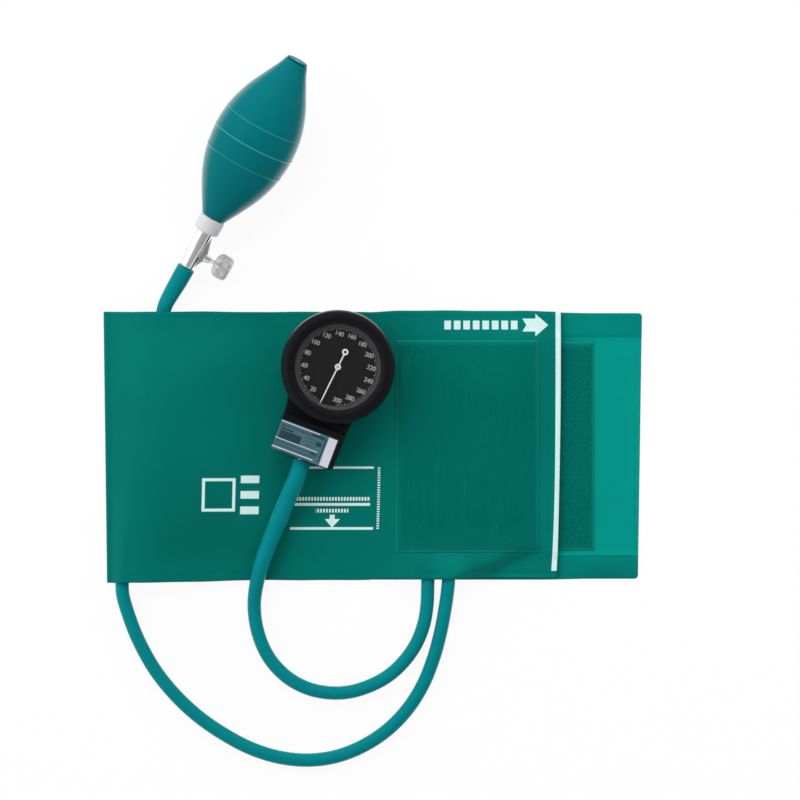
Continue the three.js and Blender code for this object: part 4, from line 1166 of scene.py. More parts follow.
HOOK_TAPE = PileFinish(
    "hook_tape", (0.0005, 0.150, 0.123), 0.85, 0.03,
    outer=Bar(94.9, 0, 24.2, 55.6), inner=Bar(94.9, 0, 23.0, 54.0), comb=6.0, streaks=0.2,
)
HOOK_NYLON = PlasticFinish("hook_nylon", (0.001, 0.190, 0.160), 0.5, 0.08)
BLADDER_RUBBER = RubberFinish("bladder_rubber", (0.02, 0.02, 0.022), 0.6)
HOSE_RUBBER = RubberFinish("hose_rubber", (0.001, 0.208, 0.228), 0.36, 0.03, coat=0.8, patches=0.2)
DARK_RUBBER = RubberFinish("dark_rubber", (0.02, 0.02, 0.021), 0.65)
CASE_PLASTIC = PlasticFinish("case_plastic", (0.0062, 0.0062, 0.0078), 0.36, 0.08, coat=1.0)
SCALE_RING = PlasticFinish("scale_ring", (0.050, 0.050, 0.050), 0.5, 0.2)
POINTER_PAINT = PlasticFinish("pointer_paint", (0.66, 0.66, 0.65), 0.4, 0.2)
GREY_PLASTIC = PlasticFinish("grey_plastic", (0.60, 0.60, 0.62), 0.42, 0.3)
TEAL_PLASTIC = PlasticFinish("teal_plastic", (0.0008, 0.14, 0.158), 0.4, 0.06)
DIAL_BLACK = DialFinish("dial_black", (0.0075, 0.0075, 0.0078), 0.7, 0.02)
PRINT_WHITE = DialFinish("print_white", (0.42, 0.42, 0.41), 0.6, 0.1)
CRYSTAL = GlassFinish("crystal_glass", (1.0, 1.0, 1.0), 0.02)
CHROME = MetalFinish("chrome", (0.92, 0.92, 0.93), 0.12, spread=0.05)
# A darker copy of the chrome for the valve's boss, which is plated like the tube: painted shade.
SHADED_CHROME = MetalFinish("shaded_chrome", (0.50, 0.50, 0.51), 0.2)
KNOB_METAL = MetalFinish("knob_metal", (0.74, 0.73, 0.73), 0.58, depth=0.03)
STEEL = MetalFinish("steel", (0.46, 0.46, 0.47), 0.32)
SPRING_STEEL = MetalFinish("spring_steel", (0.40, 0.40, 0.42), 0.28, marks=(5.0, 0.4, 5.0))
BRASS = MetalFinish("brass", (0.58, 0.40, 0.15), 0.34)


# Placing and repeating


def turned(degrees: float, axis: str) -> Matrix:
    """Returns a turn about an axis."""
    return Matrix.Rotation(math.radians(degrees), 4, axis)


GAUGE_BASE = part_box("gauge_case")[0][2] / MM
GAUGE_PLACE = Matrix.Translation((-18.7, 42.6, GAUGE_BASE)) @ turned(-20.8, "Z")
BULB_PLACE = Matrix.Translation((-100.700, 96.976, 7.763)) @ turned(61, "Z") @ turned(-12, "Y")


def ride(piece: Piece, body: str, slot: str, *nodes: str) -> Piece:
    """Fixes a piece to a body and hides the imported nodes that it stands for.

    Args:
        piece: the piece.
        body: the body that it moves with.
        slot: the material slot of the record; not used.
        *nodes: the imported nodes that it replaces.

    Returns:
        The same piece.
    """
    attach(piece, body)
    if nodes:
        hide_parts(*nodes)
    log.info("%s on %s: %d faces", piece.name, body, len(piece.data.polygons))
    return piece


def lathed(
    name: str, profile: Sequence[Flat], sides: int, finish: Finish, place: Matrix,
    angle: float = 40, shape: Height | None = None,
) -> Piece:
    """Turns a piece on a lathe, with the edges sharper than an angle crisp.

    Args:
        name: the piece's name.
        profile: radius and height of each point, in millimetres.
        sides: facets round the axis.
        finish: its finish.
        place: where its own axes stand, in millimetres.
        angle: the least angle of a crisp edge, in degrees.
        shape: gives a factor on the radius from the angle and the height.

    Returns:
        The piece.
    """
    points, faces = lathe(profile, sides, shape)
    piece = new_piece(name, points, faces, finish.build(), place)
    piece.data.set_sharp_from_angle(angle=math.radians(angle))
    return piece


def dress(finish: Finish, *names: str) -> None:
    """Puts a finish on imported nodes.

    Args:
        finish: the finish.
        *names: the nodes' names.
    """
    material = finish.build()
    for name in names:
        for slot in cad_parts[name].material_slots:
            slot.material = material
        log.info("%s dressed in %s", name, finish.name)


def rows_tree(name: str, inputs: dict[str, str], fill: Callable[[NodeBoard, Given], Socket]) -> Tree:
    """Builds a Geometry Nodes tree that ends in Realize Instances and Set Material.

    Args:
        name: its name.
        inputs: the socket type of each named input, besides its finish.
        fill: adds the nodes and returns the instances.

    Returns:
        The tree, new or built before.
    """

    def dressed(board: NodeBoard, given: Given) -> Socket:
        """Adds the nodes, then realizes and dresses what they make.

        Args:
            board: the tree's board.
            given: the tree's inputs.

        Returns:
            The dressed rows.
        """
        real = board.out("GeometryNodeRealizeInstances", {"Geometry": fill(board, given)})
        values = {"Geometry": real, "Material": given["Finish"]}
        return board.out("GeometryNodeSetMaterial", values)

    plan = {**inputs, "Finish": MATERIAL}
    return node_tree("GeometryNodeTree", name, plan, ("Geometry", GEOMETRY), dressed)


def grown(name: str, mesh: bpy.types.Mesh, tree: Tree, values: dict[str, object]) -> Piece:
    """Makes a piece with a Geometry Nodes tree and settles it as plain mesh.

    Args:
        name: the piece's name.
        mesh: what the tree starts from.
        tree: the tree.
        values: the values of its inputs, by name.

    Returns:
        The piece.
    """
    piece = linked(name, mesh)
    modifier = piece.modifiers.new("rows", "NODES")
    modifier.node_group = tree
    for item in tree.interface.items_tree:
        if item.in_out == "INPUT" and item.name in values:
            modifier[item.identifier] = values[item.name]
    return settled(piece)


def stitch_tree() -> Tree:
    """Returns the tree that sets a rounded bar at even steps along every line."""

    def fill(board: NodeBoard, given: Given) -> Socket:
        """Adds the steps and the bars.

        Args:
            board: the tree's board.
            given: the tree's inputs.

        Returns:
            The stitches.
        """
        curve = board.out("GeometryNodeMeshToCurve", {"Mesh": given["Lines"]})
        steps = {"Curve": curve, "Length": given["Spacing"]}
        points = board.add("GeometryNodeCurveToPoints", steps, mode="LENGTH")
        bead = board.add("GeometryNodeMeshUVSphere", {"Segments": 6, "Rings": 4, "Radius": 0.5})
        size = board.joint(given["Width"], given["Width"], given["Length"])
        inputs = {
            "Points": points.outputs["Points"], "Instance": bead.outputs["Mesh"],
            "Rotation": points.outputs["Rotation"], "Scale": size,
        }
        return board.out("GeometryNodeInstanceOnPoints", inputs)

    plan = {"Lines": GEOMETRY, "Spacing": NUMBER, "Length": NUMBER, "Width": NUMBER}
    return rows_tree("stitches_along_lines", plan, fill)


@dataclass
class Stitches:
    """Stitches of one size along lines."""

    finish: Material
    spacing: float = 2.6
    length: float = 1.9
    width: float = 0.34

    def along(self, name: str, lines: Sequence[Sequence[Point]]) -> Piece:
        """Makes one piece with a row of stitches along every line.

        Args:
            name: the piece's name.
            lines: the lines' points, in millimetres.

        Returns:
            The piece, as plain mesh.
        """
        points: list[Point] = []
        edges = []
        for line in lines:
            edges += [(len(points) + k, len(points) + k + 1) for k in range(len(line) - 1)]
            points.extend(line)
        mesh = bpy.data.meshes.new(name)
        mesh.from_pydata([Vector(point) * MM for point in points], edges, [])
        values = {"Spacing": self.spacing * MM, "Length": self.length * MM, "Width": self.width * MM}
        piece = grown(name, mesh, stitch_tree(), {**values, "Finish": self.finish})
        piece.data.shade_smooth()
        return piece


def scatter(board: NodeBoard, seed: int, low: Point, high: Point) -> Socket:
    """Adds a random vector between two others."""
    inputs = {"Seed": seed, 0: low, 1: high}
    return board.out("FunctionNodeRandomValue", inputs, data_type="FLOAT_VECTOR")


def hook_tree() -> Tree:
    """Returns the tree that sets rows of wire hooks on a grid, each a little off its place."""

    def fill(board: NodeBoard, given: Given) -> Socket:
        """Adds the grid, the hook and their jitter, whose seeds are fixed.

        Args:
            board: the tree's board.
            given: the tree's inputs.

        Returns:
            The hooks.
        """
        inputs = {"Size X": "Size X", "Size Y": "Size Y", "Vertices X": "Columns", "Vertices Y": "Rows"}
        grid = board.add("GeometryNodeMeshGrid", {slot: given[label] for slot, label in inputs.items()})
        jitter = scatter(board, 7, (-0.0005, -0.0005, -0.0002), (0.0005, 0.0005, 0.0001))
        inputs = {"Geometry": grid.outputs[0], "Offset": jitter}
        moved = board.out("GeometryNodeSetPosition", inputs)
        inputs = {"Resolution": 6, "Radius": given["Hook size"], "Sweep Angle": math.radians(230)}
        arc = board.out("GeometryNodeCurveArc", inputs)
        inputs = {"Resolution": 3, "Radius": given["Wire"]}
        ring = board.out("GeometryNodeCurvePrimitiveCircle", inputs)
        inputs = {"Curve": arc, "Profile Curve": ring, "Fill Caps": True}
        wire = board.out("GeometryNodeCurveToMesh", inputs)
        hook = board.out("GeometryNodeTransform", {"Geometry": wire, "Rotation": (UPRIGHT, 0, 0)})
        spin = scatter(board, 11, (0, 0, -0.5), (0, 0, 0.5))
        inputs = {"Points": moved, "Instance": hook, "Rotation": spin}
        return board.out("GeometryNodeInstanceOnPoints", inputs)

    plan = {label: NUMBER for label in ("Size X", "Size Y", "Hook size", "Wire")}
    return rows_tree("hook_rows", {**plan, "Columns": COUNT, "Rows": COUNT}, fill)


def graduation_tree() -> Tree:
    """Returns the tree that sets graduations round a dial, with a longer one at every few."""

    def fill(board: NodeBoard, given: Given) -> Socket:
        """Adds a block for each graduation, turned to its angle.

        Args:
            board: the tree's board.
            given: the tree's inputs.

        Returns:
            The graduations.
        """
        line = board.out("GeometryNodeMeshLine", {"Count": given["Count"], "Offset": (0, 0, 0)})
        index = board.out("GeometryNodeInputIndex")
        turn = board.math("ADD", given["First"], board.math("MULTIPLY", index, given["Step"]))
        is_long = board.math("LESS_THAN", board.math("MODULO", index, given["Long every"]), 0.5)
        more = board.math("MULTIPLY", is_long, board.math("SUBTRACT", given["Long"], given["Short"]))
        length = board.math("ADD", given["Short"], more)
        reach = board.math("SUBTRACT", given["Radius"], board.math("MULTIPLY", length, 0.5))
        x, y = (board.math("MULTIPLY", reach, board.math(side, turn)) for side in ("COSINE", "SINE"))
        inputs = {"Geometry": line, "Position": board.joint(x, y, 0.0)}
        moved = board.out("GeometryNodeSetPosition", inputs)
        block = board.add("GeometryNodeMeshCube", {"Size": (1, 1, 1)}).outputs["Mesh"]
        thicker = board.math("ADD", 1.0, board.math("MULTIPLY", is_long, 0.5))
        size = board.joint(length, board.math("MULTIPLY", given["Width"], thicker), given["Thickness"])
        inputs = {"Points": moved, "Instance": block, "Rotation": board.joint(0.0, 0.0, turn), "Scale": size}
        return board.out("GeometryNodeInstanceOnPoints", inputs)

    plan = {label: NUMBER for label in ("Radius", "First", "Step", "Short", "Long", "Width", "Thickness")}
    return rows_tree("graduations", {"Count": COUNT, "Long every": COUNT, **plan}, fill)


# Cuff


@dataclass
class Cuff:
    """The cuff: one long cloth folded in two, with its bladder and its two tapes."""

    width: float = CUFF_WIDTH
    top_length: float = 246.0
    tail_length: float = 289.0
    cloth: float = 0.6
    gap: float = 0.3
    hem_rise: float = 0.7
    hem_width: float = 13.8
    fold_radius: float = 1.9
    fold_room: float = 2.6
    fold_steps: int = 14
    hook_size: Flat = (50.0, 113.0)
    loop_size: Flat = (77.4, 114.7)
    hook_inset: float = 24.6
    loop_inset: float = 11.9
    hook_thick: float = 1.5
    loop_thick: float = 1.0
    bladder_size: Flat = (220.0, 120.0)
    bladder_thick: float = 1.8
    hose_x: Flat = (29.7, 41.0)
    hose_d: float = 7.0
    seam_inset: float = 3.2
    tape_seam: float = 1.6
    thread_lift: float = 0.04

    def __post_init__(self) -> None:
        """Works out the levels and edges that follow from the sizes."""
        self.fold_x = -self.tail_length / 2
        self.axis_x = self.fold_x + self.fold_radius
        self.sewn_x = self.fold_x + self.top_length
        self.tail_x = self.fold_x + self.tail_length
        self.edge_y = self.width / 2
        self.hem_top = self.cloth + self.hem_rise
        self.hook_right = self.tail_x - self.hook_inset
        self.hook_left = self.hook_right - self.hook_size[0]
        self.hook_low = self.cloth + self.gap
        self.bladder_right = self.sewn_x - 10
        self.bladder_left = self.bladder_right - self.bladder_size[0]
        self.mouth_x = sum(self.hose_x) / 2
        self.mouth_top = self.hem_top + 2 * self.gap + self.cloth + self.hose_d + self.gap
        self.loop_right = self.sewn_x - self.loop_inset
        self.loop_left = self.loop_right - self.loop_size[0]

    def lining_low(self, x: float, y: float) -> float:
        """Returns the level of the lining's underside, over the hidden hose and the hook tape.

        Args:
            x: place along the cuff.
            y: place across it.

        Returns:
            The level, in millimetres.
        """
        crest = self.fold_x + lerp(8.5, 31.6, (y + self.edge_y) / self.width)
        start = self.axis_x + self.gap
        if x < crest:
            hump = math.sin(UPRIGHT * clamp((x - start) / (crest - start)))
        else:
            hump = 1 - smooth((x - crest) / 70)
        half = self.hook_size[1] / 2
        over_hook = within(x, self.hook_left, self.tail_x, 7) * within(y, -half, half, 7)
        rise = self.hook_low + self.hook_thick - self.hem_top
        return self.hem_top + self.gap + (self.hose_d + 3 * self.gap) * hump + rise * over_hook

    def lining_top(self, x: float, y: float) -> float:
        """Returns the level of the lining's top."""
        return self.lining_low(x, y) + self.cloth

    def crease(self, x: float, y: float) -> float:
        """Tells how far the cloth is pulled flat beyond the sharp crease by the hoses.

        Args:
            x: place along the cuff.
            y: place across it.

        Returns:
            1 beyond the crease, 0 before it.
        """
        start, end = Vector((49.5, -69.5)), Vector((77.0, -58.0))
        along = (end - start).normalized()
        spot = Vector((x, y)) - start
        past = spot.x * along.y - spot.y * along.x
        run = clamp(spot.dot(along) / (end - start).length)
        return smooth(past / lerp(3.0, 9.0, run) + 0.4) * (1 - smooth(run * 1.1))

    def mouth(self, x: float, y: float) -> float:
        """Returns how far the cloth stands open over the two hoses, from 0 to 1.

        Args:
            x: place along the cuff.
            y: place across it.

        Returns:
            The share.
        """
        slant = clamp((y + self.edge_y) / 18)
        right = self.mouth_x + lerp(13, 38, slant)
        open_x = smooth(1 + min((x - self.mouth_x + 12) / 16, (right - x) / lerp(14, 24, slant)))
        return open_x * (1 - smooth((y + 66) / 26)) * (1 - 0.3 * self.crease(x, y))

    def outer_low(self, x: float, y: float) -> float:
        """Returns the level of the outer cloth's underside, with its swelling over the hoses.

        Args:
            x: place along the cuff.
            y: place across it.

        Returns:
            The level, in millimetres.
        """
        half = self.bladder_size[1] / 2
        over = smooth((x - self.bladder_left + 12) / 30) * smooth((self.bladder_right + 9 - x) / 30)
        over *= smooth((half + 9 - abs(y)) / 30)
        plain = self.lining_top(x, y) + self.gap + (self.bladder_thick + self.gap) * over
        near_fold = 1 - smooth((x - self.axis_x) / 7)
        folded = max(plain, lerp(plain, 2 * self.fold_radius - self.cloth, near_fold))
        return lerp(folded, self.mouth_top, self.mouth(x, y)) + self.ripples(x, y)

    def ripples(self, x: float, y: float) -> float:
        """Returns the low waves that cloth keeps, which fade out under the gauge and at the fold.

        Args:
            x: place along the cuff.
            y: place across it.

        Returns:
            Their height, in millimetres.
        """
        calm = smooth((math.hypot(x + 18.7, y - 42.6) - 30) / 25) * smooth((x - self.axis_x - 4) / 20)
        calm *= smooth((math.hypot(x + 29, y - 4) - 26) / 20)
        wave = swell(x * 0.075 + 0.6 * math.sin(y * 0.04 + 0.8)) + 0.35 * swell(x * 0.031 - y * 0.062 + 1.7)
        edge = smooth((abs(y) - 60) / 10) * swell(x * 0.21 + math.copysign(1.2, y))
        return calm * (0.42 * wave + 0.35 * edge)

    def outer_top(self, x: float, y: float) -> float:
        """Returns the level of the outer cloth's top, with the sewn channel inside its edge.

        Args:
            x: place along the cuff.
            y: place across it.

        Returns:
            The level, in millimetres.
        """
        rim = min(self.edge_y - abs(y), self.sewn_x - x)
        channel, roll = 0.22 * bell(rim - self.seam_inset, 0.7), 0.25 * bell(rim, 1.3)
        return self.outer_low(x, y) + self.cloth - channel - roll

    def shifted(self, x: float, y: float) -> Flat:
        """Moves a place of the top layer so that its outline wanders as cut cloth does.

        Args:
            x: place along the cuff.
            y: place across it.

        Returns:
            The moved place.
        """
        share = y / self.edge_y
        low = (1 - share) / 2
        right = smooth((x - 60) / 40) * (0.35 - 2.3 * low * low)
        left = (1 - smooth((x - self.fold_x) / 60)) * lerp(0.3, -1.6, (share + 1) / 2)
        wander = 0.22 * math.sin(x * 0.05) + 0.08 * math.sin(x * 0.19)
        edge = smooth((abs(y) - 50) / 22) * math.copysign(wander, y)
        low_lift = 0.75 * smooth((x + 4) / 16) + 0.35 * smooth((x - 40) / 14) - 0.25 * smooth((x - 92) / 10)
        low_lift -= 1.4 * (1 - smooth((x + 150) / 110))
        high_lift = 0.7 * smooth((x + 2) / 18) * (1 - smooth((x - 78) / 20))
        lift = low_lift * smooth((-y - 50) / 22) + high_lift * smooth((y - 50) / 22)
        return x + right + left, y + edge + lift

    def columns(self) -> list[float]:
        """Returns the grid lines along the cuff, close together by the hoses' mouth."""
        line, x = [], self.axis_x
        while x < self.sewn_x - 0.4:
            line.append(x)
            near = x < self.axis_x + 8 or 8 < x < 80 or x > self.sewn_x - 7
            x += 0.9 if near else 1.7
        return [*line, self.sewn_x]

    def rows(self) -> list[float]:
        """Returns the grid lines across the cuff, close together at its edges."""
        line, y = [], -self.edge_y
        while y < self.edge_y - 0.4:
            line.append(y)
            y += 0.9 if abs(y) > 54 else 2.2
        return [*line, self.edge_y]

    def outer_cloth(self) -> Piece:
        """Makes the outer cloth with the fold in one sheet."""
        turns = [UPRIGHT + math.pi * k / self.fold_steps for k in range(self.fold_steps, 0, -1)]
        columns, rows = self.columns(), self.rows()
        layers: tuple[list[Point], list[Point]] = ([], [])
        for y in rows:
            axis, side = self.shifted(self.axis_x, y)
            for points, radius in zip(layers, (self.fold_radius - self.cloth, self.fold_radius)):
                for turn in turns:
                    x, z = axis + radius * math.cos(turn), self.fold_radius + radius * math.sin(turn)
                    points.append((x, side, z))
            for points, level in zip(layers, (self.outer_low, self.outer_top)):
                points.extend((*self.shifted(x, y), level(x, y)) for x in columns)
        faces = sheet_faces(len(rows), len(turns) + len(columns))
        return new_piece("outer_cloth", layers[0] + layers[1], faces, OUTER_CLOTH.build())

    def lining(self) -> Piece:
        """Makes the lining of the bladder section."""

        def spot(x: float, y: float) -> Spot:
            """Gives the sheet at a place, a little inside the edges of the outer cloth."""
            moved_x, moved_y = self.shifted(x, y)
            return (moved_x, moved_y * 0.998), self.lining_low(x, y), self.lining_top(x, y)

        columns = np.linspace(self.axis_x + self.fold_room, self.sewn_x, 130)
        rows = np.linspace(-self.edge_y, self.edge_y, 60)
        return cloth_piece("lining", columns, rows, spot, LINING_CLOTH.build())

    def tail_top(self, x: float, y: float) -> float:
        """Returns the level of the tail's top, with its hems and their sewn channels.

        Args:
            x: place along the cuff.
            y: place across it.

        Returns:
            The level, in millimetres.
        """
        rim = self.edge_y - abs(y)
        hem = smooth((self.hem_width - rim) / 1.2 + 0.5)
        wave = 0.25 * swell(x * 0.11 + 0.5 * math.sin(y * 0.05)) * smooth((x - 96) / 12) * (1 - hem)
        channel = 0.22 * bell(rim - self.hem_width + self.tape_seam, 0.6)
        end = 0.2 * bell(self.tail_x - x - 2.4, 0.6) if x > 120 else 0.0
        return self.cloth + self.hem_rise * hem + wave - channel - end - 0.15 * bell(rim, 1.0)

    def tail(self) -> Piece:
        """Makes the tail, a single cloth with a hem along each side."""

        def spot(x: float, y: float) -> Spot:
            """Gives the sheet at a place, with round corners, leaning and narrower at its end.

            Args:
                x: place along the cuff.
                y: place across it.

            Returns:
                The place seen from above, and the low and high level there.
            """
            share = y / self.edge_y
            past_y, past_x = max(0.0, abs(y) - (self.edge_y - 2)), max(0.0, x - (self.tail_x - 2))
            in_corner = past_y > 0 and past_x > 0
            pull = 1 - max(past_y, past_x) / math.hypot(past_y, past_x) if in_corner else 0.0
            lean = smooth((x - 80) / 60) * lerp(-0.9, 1.3, (share + 1) / 2)
            moved_y = y - math.copysign(past_y * pull, y) - 0.5 * smooth((x - 90) / 30) * share
            return (x - past_x * pull + lean, moved_y), 0.0, self.tail_top(x, y)

        columns = [*np.linspace(self.axis_x - 0.4, 90, 90), *np.linspace(91, self.tail_x, 70)]
        low_hem, high_hem = np.linspace(-self.edge_y, -58, 18), np.linspace(58, self.edge_y, 18)
        rows = [*low_hem, *np.linspace(-56, 56, 60), *high_hem]
        return cloth_piece("tail_cloth", columns, rows, spot, TAIL_CLOTH.build())

    def tape(
        self, finish: Finish, name: str, size: Flat, right: float, low: Height, high: Height,
        steps: Sequence[int],
    ) -> Piece:
        """Makes a sewn tape that follows what it lies on.

        Args:
            finish: its finish.
            name: the piece's name.
            size: its length and width.
            right: its right edge.
            low: the level of its underside.
            high: the level of its top.
            steps: grid steps along and across.

        Returns:
            The tape.
        """
        left, half = right - size[0], size[1] / 2

        def spot(x: float, y: float) -> Spot:
            """Gives the tape at a place, thin and sewn down along its border.

            Args:
                x: place along the cuff.
                y: place across it.

            Returns:
                The place seen from above, and the low and high level there.
            """
            rim = min(x - left, right - x, y + half, half - y)
            base = low(x, y)
            share = lerp(0.22, 1.0, smooth(rim / 3.2))
            return (x, y), base, base + (high(x, y) - base) * share - 0.12 * bell(rim - self.tape_seam, 0.6)

        columns, rows = np.linspace(left, right, steps[0]), np.linspace(-half, half, steps[1])
        return cloth_piece(name, columns, rows, spot, finish.build())

    def hooks(self) -> Piece:
        """Makes the hook tape's rows of nylon hooks."""
        values = {
            "Size X": (self.hook_size[0] - 5) * MM, "Size Y": (self.hook_size[1] - 6) * MM,
            "Hook size": 0.42 * MM, "Wire": 0.11 * MM, "Columns": 29, "Rows": 67,
            "Finish": HOOK_NYLON.build(),
        }
        piece = grown("hook_rows", bpy.data.meshes.new("hook_rows"), hook_tree(), values)
        centre = Vector(((self.hook_left + self.hook_right) / 2, 0, self.hook_low + 1.02)) * MM
        piece.data.transform(Matrix.Translation(centre))
        return piece

    def bladder(self) -> Piece:
        """Makes the rubber bladder, a flat bag that lies in the pocket."""
        half = self.bladder_size[1] / 2

        def spot(x: float, y: float) -> Spot:
            """Gives the bag at a place, flat along its rim.

            Args:
                x: place along the cuff.
                y: place across it.

            Returns:
                The place seen from above, and the low and high level there.
            """
            rim = min(x - self.bladder_left, self.bladder_right - x, y + half, half - y)
            low = self.lining_top(x, y) + self.gap
            return (x, y), low, low + lerp(0.35, self.bladder_thick, smooth((rim - 1) / 22))

        columns, rows = np.linspace(self.bladder_left, self.bladder_right, 110), np.linspace(-half, half, 60)
        return cloth_piece("bladder_bag", columns, rows, spot, BLADDER_RUBBER.build())

    def necks(self) -> Piece:
        """Makes the bladder's two necks, which the hoses push onto."""
        points: list[Point] = []
        faces: Faces = []
        more, shell = lathe(rounded([(0, 0), (2.6, 0), (2.6, 11), (0.9, 20), (0, 20)], 0.5, 3), 24)
        for x in self.hose_x:
            z = self.mouth_top - self.gap - self.hose_d / 2
            low = z - (self.lining_top(x, -50) + self.gap + self.bladder_thick / 2)
            tilt = Matrix.Rotation(-math.atan2(low, 20), 4, "X")
            place = Matrix.Translation((x, -67.3, z)) @ turned(-90, "X") @ tilt
            faces += [[len(points) + k for k in face] for face in shell]
            points += [tuple(place @ Vector(point)) for point in more]
        return new_piece("bladder_necks", points, faces, BLADDER_RUBBER.build())

    def seam(self, route: Sequence[Flat], level: Height, lift: float, moved: bool = False) -> list[Point]:
        """Lays a line of thread on the cloth.

        Args:
            route: its corners, seen from above.
            level: the level of the surface.
            lift: how far the thread stands over it.
            moved: whether the outline's wander applies.

        Returns:
            Its points, a millimetre or two apart.
        """
        line = []
        for (x0, y0), (x1, y1) in zip(route, route[1:]):
            count = max(2, int(math.hypot(x1 - x0, y1 - y0) / 1.5))
            for k in range(count + 1):
                x, y = lerp(x0, x1, k / count), lerp(y0, y1, k / count)
                spot = self.shifted(x, y) if moved else (x, y)
                line.append((*spot, level(x, y) + lift))
        return line

    def border(self, left: float, right: float, width: float, level: Height) -> list[Point]:
        """Returns the seam round a tape with these edges and this width.

        Args:
            left: its left edge.
            right: its right edge.
            width: its width.
            level: the level of the surface.

        Returns:
            The seam's points.
        """
        half, inset = width / 2 - self.tape_seam, self.tape_seam
        corners = [(left + inset, -half), (right - inset, -half), (right - inset, half), (left + inset, half)]
        return self.seam([*corners, corners[0]], level, self.thread_lift)

    def top_seams(self) -> list[list[Point]]:
        """Returns the seams of the top layer: its edge, open by the hoses, and the loop tape's."""
        edge, right = self.edge_y - self.seam_inset, self.sewn_x - self.seam_inset - 2.6
        start = self.axis_x + self.fold_room + 1.8
        routes = [(start, -edge), (18, -edge)], [(52, -edge), (right, -edge), (right, edge), (start, edge)]
        seams = [self.seam(route, self.outer_top, self.thread_lift, True) for route in routes]
        top = self.border(
            self.loop_left, self.loop_right, self.loop_size[1],
            lambda x, y: self.outer_low(x, y) + self.cloth + 0.62,
        )
        return [*seams, top]

    def tail_seams(self) -> list[list[Point]]:
        """Returns the seams of the tail: its two hems, its end and the hook tape's."""
        hem = self.edge_y - self.hem_width + self.tape_seam
        seams = []
        for side in (-1, 1):
            y = side * hem * 0.988
            seams.append(self.seam([(88, y), (self.tail_x - 2.4, y)], self.tail_top, self.thread_lift))
        end = self.tail_x - 2.6
        seams.append(self.seam([(end, -hem), (end, hem)], self.tail_top, 0.02))
        edges = self.hook_left, self.hook_right
        return [*seams, self.border(*edges, self.hook_size[1], lambda x, y: self.hook_low + 0.34)]

    def build(self) -> None:
        """Makes the cuff's pieces and fixes all but the outer cloth to their bodies."""
        outer = self.outer_cloth()
        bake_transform(outer)
        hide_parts("cuff_outer_cloth", "cuff_fold")
        lining = ride(self.lining(), "root", "cuff_cloth", "cuff_lining")
        tail = ride(self.tail(), "tail", "tail_cloth", "cuff_tail")
        loop = self.tape(
            LOOP_PILE, "loop_tape", self.loop_size, self.loop_right,
            lambda x, y: self.outer_low(x, y) + self.cloth + 0.05,
            lambda x, y: self.outer_low(x, y) + self.cloth + self.gap + self.loop_thick,
            (130, 190),
        )
        ride(loop, "root", "loop_tape", "loop_patch")
        hook = self.tape(
            HOOK_TAPE, "hook_tape", self.hook_size, self.hook_right,
            lambda x, y: self.hook_low, lambda x, y: self.hook_low + 0.75, (60, 110),
        )
        ride(hook, "tail", "hook_tape", "hook_patch")
        rows = ride(self.hooks(), "tail", "hook_tape")
        ride(self.bladder(), "root", "bladder_rubber", "bladder")
        ride(self.necks(), "root", "bladder_rubber")
        stitches = Stitches(THREAD.build())
        top = ride(stitches.along("top_stitches", self.top_seams()), "root", "cuff_cloth")
        low_rows = ride(stitches.along("tail_stitches", self.tail_seams()), "tail", "tail_cloth")


# Hoses


def at_level(level: float, *spots: Flat) -> tuple[Point, ...]:
    """Returns places seen from above at one level."""
    return tuple((*spot, level) for spot in spots)


FLOOR_LEVEL = 3.8
CUFF_LEVEL = 5.1
GAUGE_HOSE_ROUTE: tuple[Point, ...] = (
    (29.7, -68.4, 6), (29.6, -76, 5.6), (29.2, -86, 4.2),
    *at_level(
        FLOOR_LEVEL, (27.6, -96), (23.4, -107), (16.5, -116.9), (7.6, -124.9), (-3.6, -130.6),
        (-14.9, -133.5), (-27, -133.3), (-38, -130.2), (-48, -124), (-56.7, -114.1), (-62.3, -101.1),
    ),
    (-64.3, -87.6, 4.6), (-63.2, -76, 7.8), (-60.2, -64, 10.2), (-55.8, -52, 11), (-50.6, -39.5, 12.8),
    (-45.4, -27, 15.4), (-40.8, -16.6, 17.9), (-38.53, -9.56, 18.2),
)
BULB_HOSE_ROUTE: tuple[Point, ...] = (
    (41, -68.4, 6), (40.6, -76, 5.6), (39, -88, 4.2),
    *at_level(
        FLOOR_LEVEL, (36.3, -102), (32.6, -115.4), (26.9, -129.5), (18.5, -142.7), (7.6, -153.9),
        (-5.7, -162.6), (-20.3, -168.2), (-35.5, -170.1), (-51.1, -168.5), (-66.5, -163.6),
        (-80.7, -156.1), (-94.1, -146.9), (-106.6, -135.4), (-117.9, -121.5), (-127, -105.2),
    ),
    (-132.6, -90.7, 4.2), (-135.6, -79.3, 5),
    *at_level(
        CUFF_LEVEL, (-135.4, -70), (-132.4, -50), (-128.4, -25), (-124.5, 0), (-120.5, 25), (-116.8, 48),
        (-115, 64), (-112.6, 75.7),
    ),
    (-108.7, 83.2, 5.2), (-104.72, 89.95, 6.04), (-100.84, 96.72, 7.7),
)


@dataclass
class Hose:
    """One rubber hose on its route, wider over what it is pushed onto at its far end."""

    name: str
    node: str
    route: tuple[Point, ...]
    diameter: float = 7.4
    reach: float = 0.0
    flare: float = 0.0
    flare_from: float = 0.0
    flare_to: float = 1.0

    def build(self, finish: Material) -> None:
        """Args:
            finish: its material.
        """
        path = through(self.route, 8)
        if self.reach:
            path.append(path[-1] + (path[-1] - path[-2]).normalized() * self.reach)
        radii = []
        for spot in path:
            past = ((path[-1] - spot).length - self.flare_from) / (self.flare_to - self.flare_from)
            radii.append(self.diameter / 2 + self.flare * (1 - smooth(past)))
        piece = tube(self.name, path, radii, 32, finish)
        ride(piece, "root", "hose_rubber", self.node)
        length = sum((after - before).length for before, after in zip(path, path[1:])) * MM
        tuple(part * MM for part in path[0])
        log.info("%s: %.0f mm", self.name, length / MM)


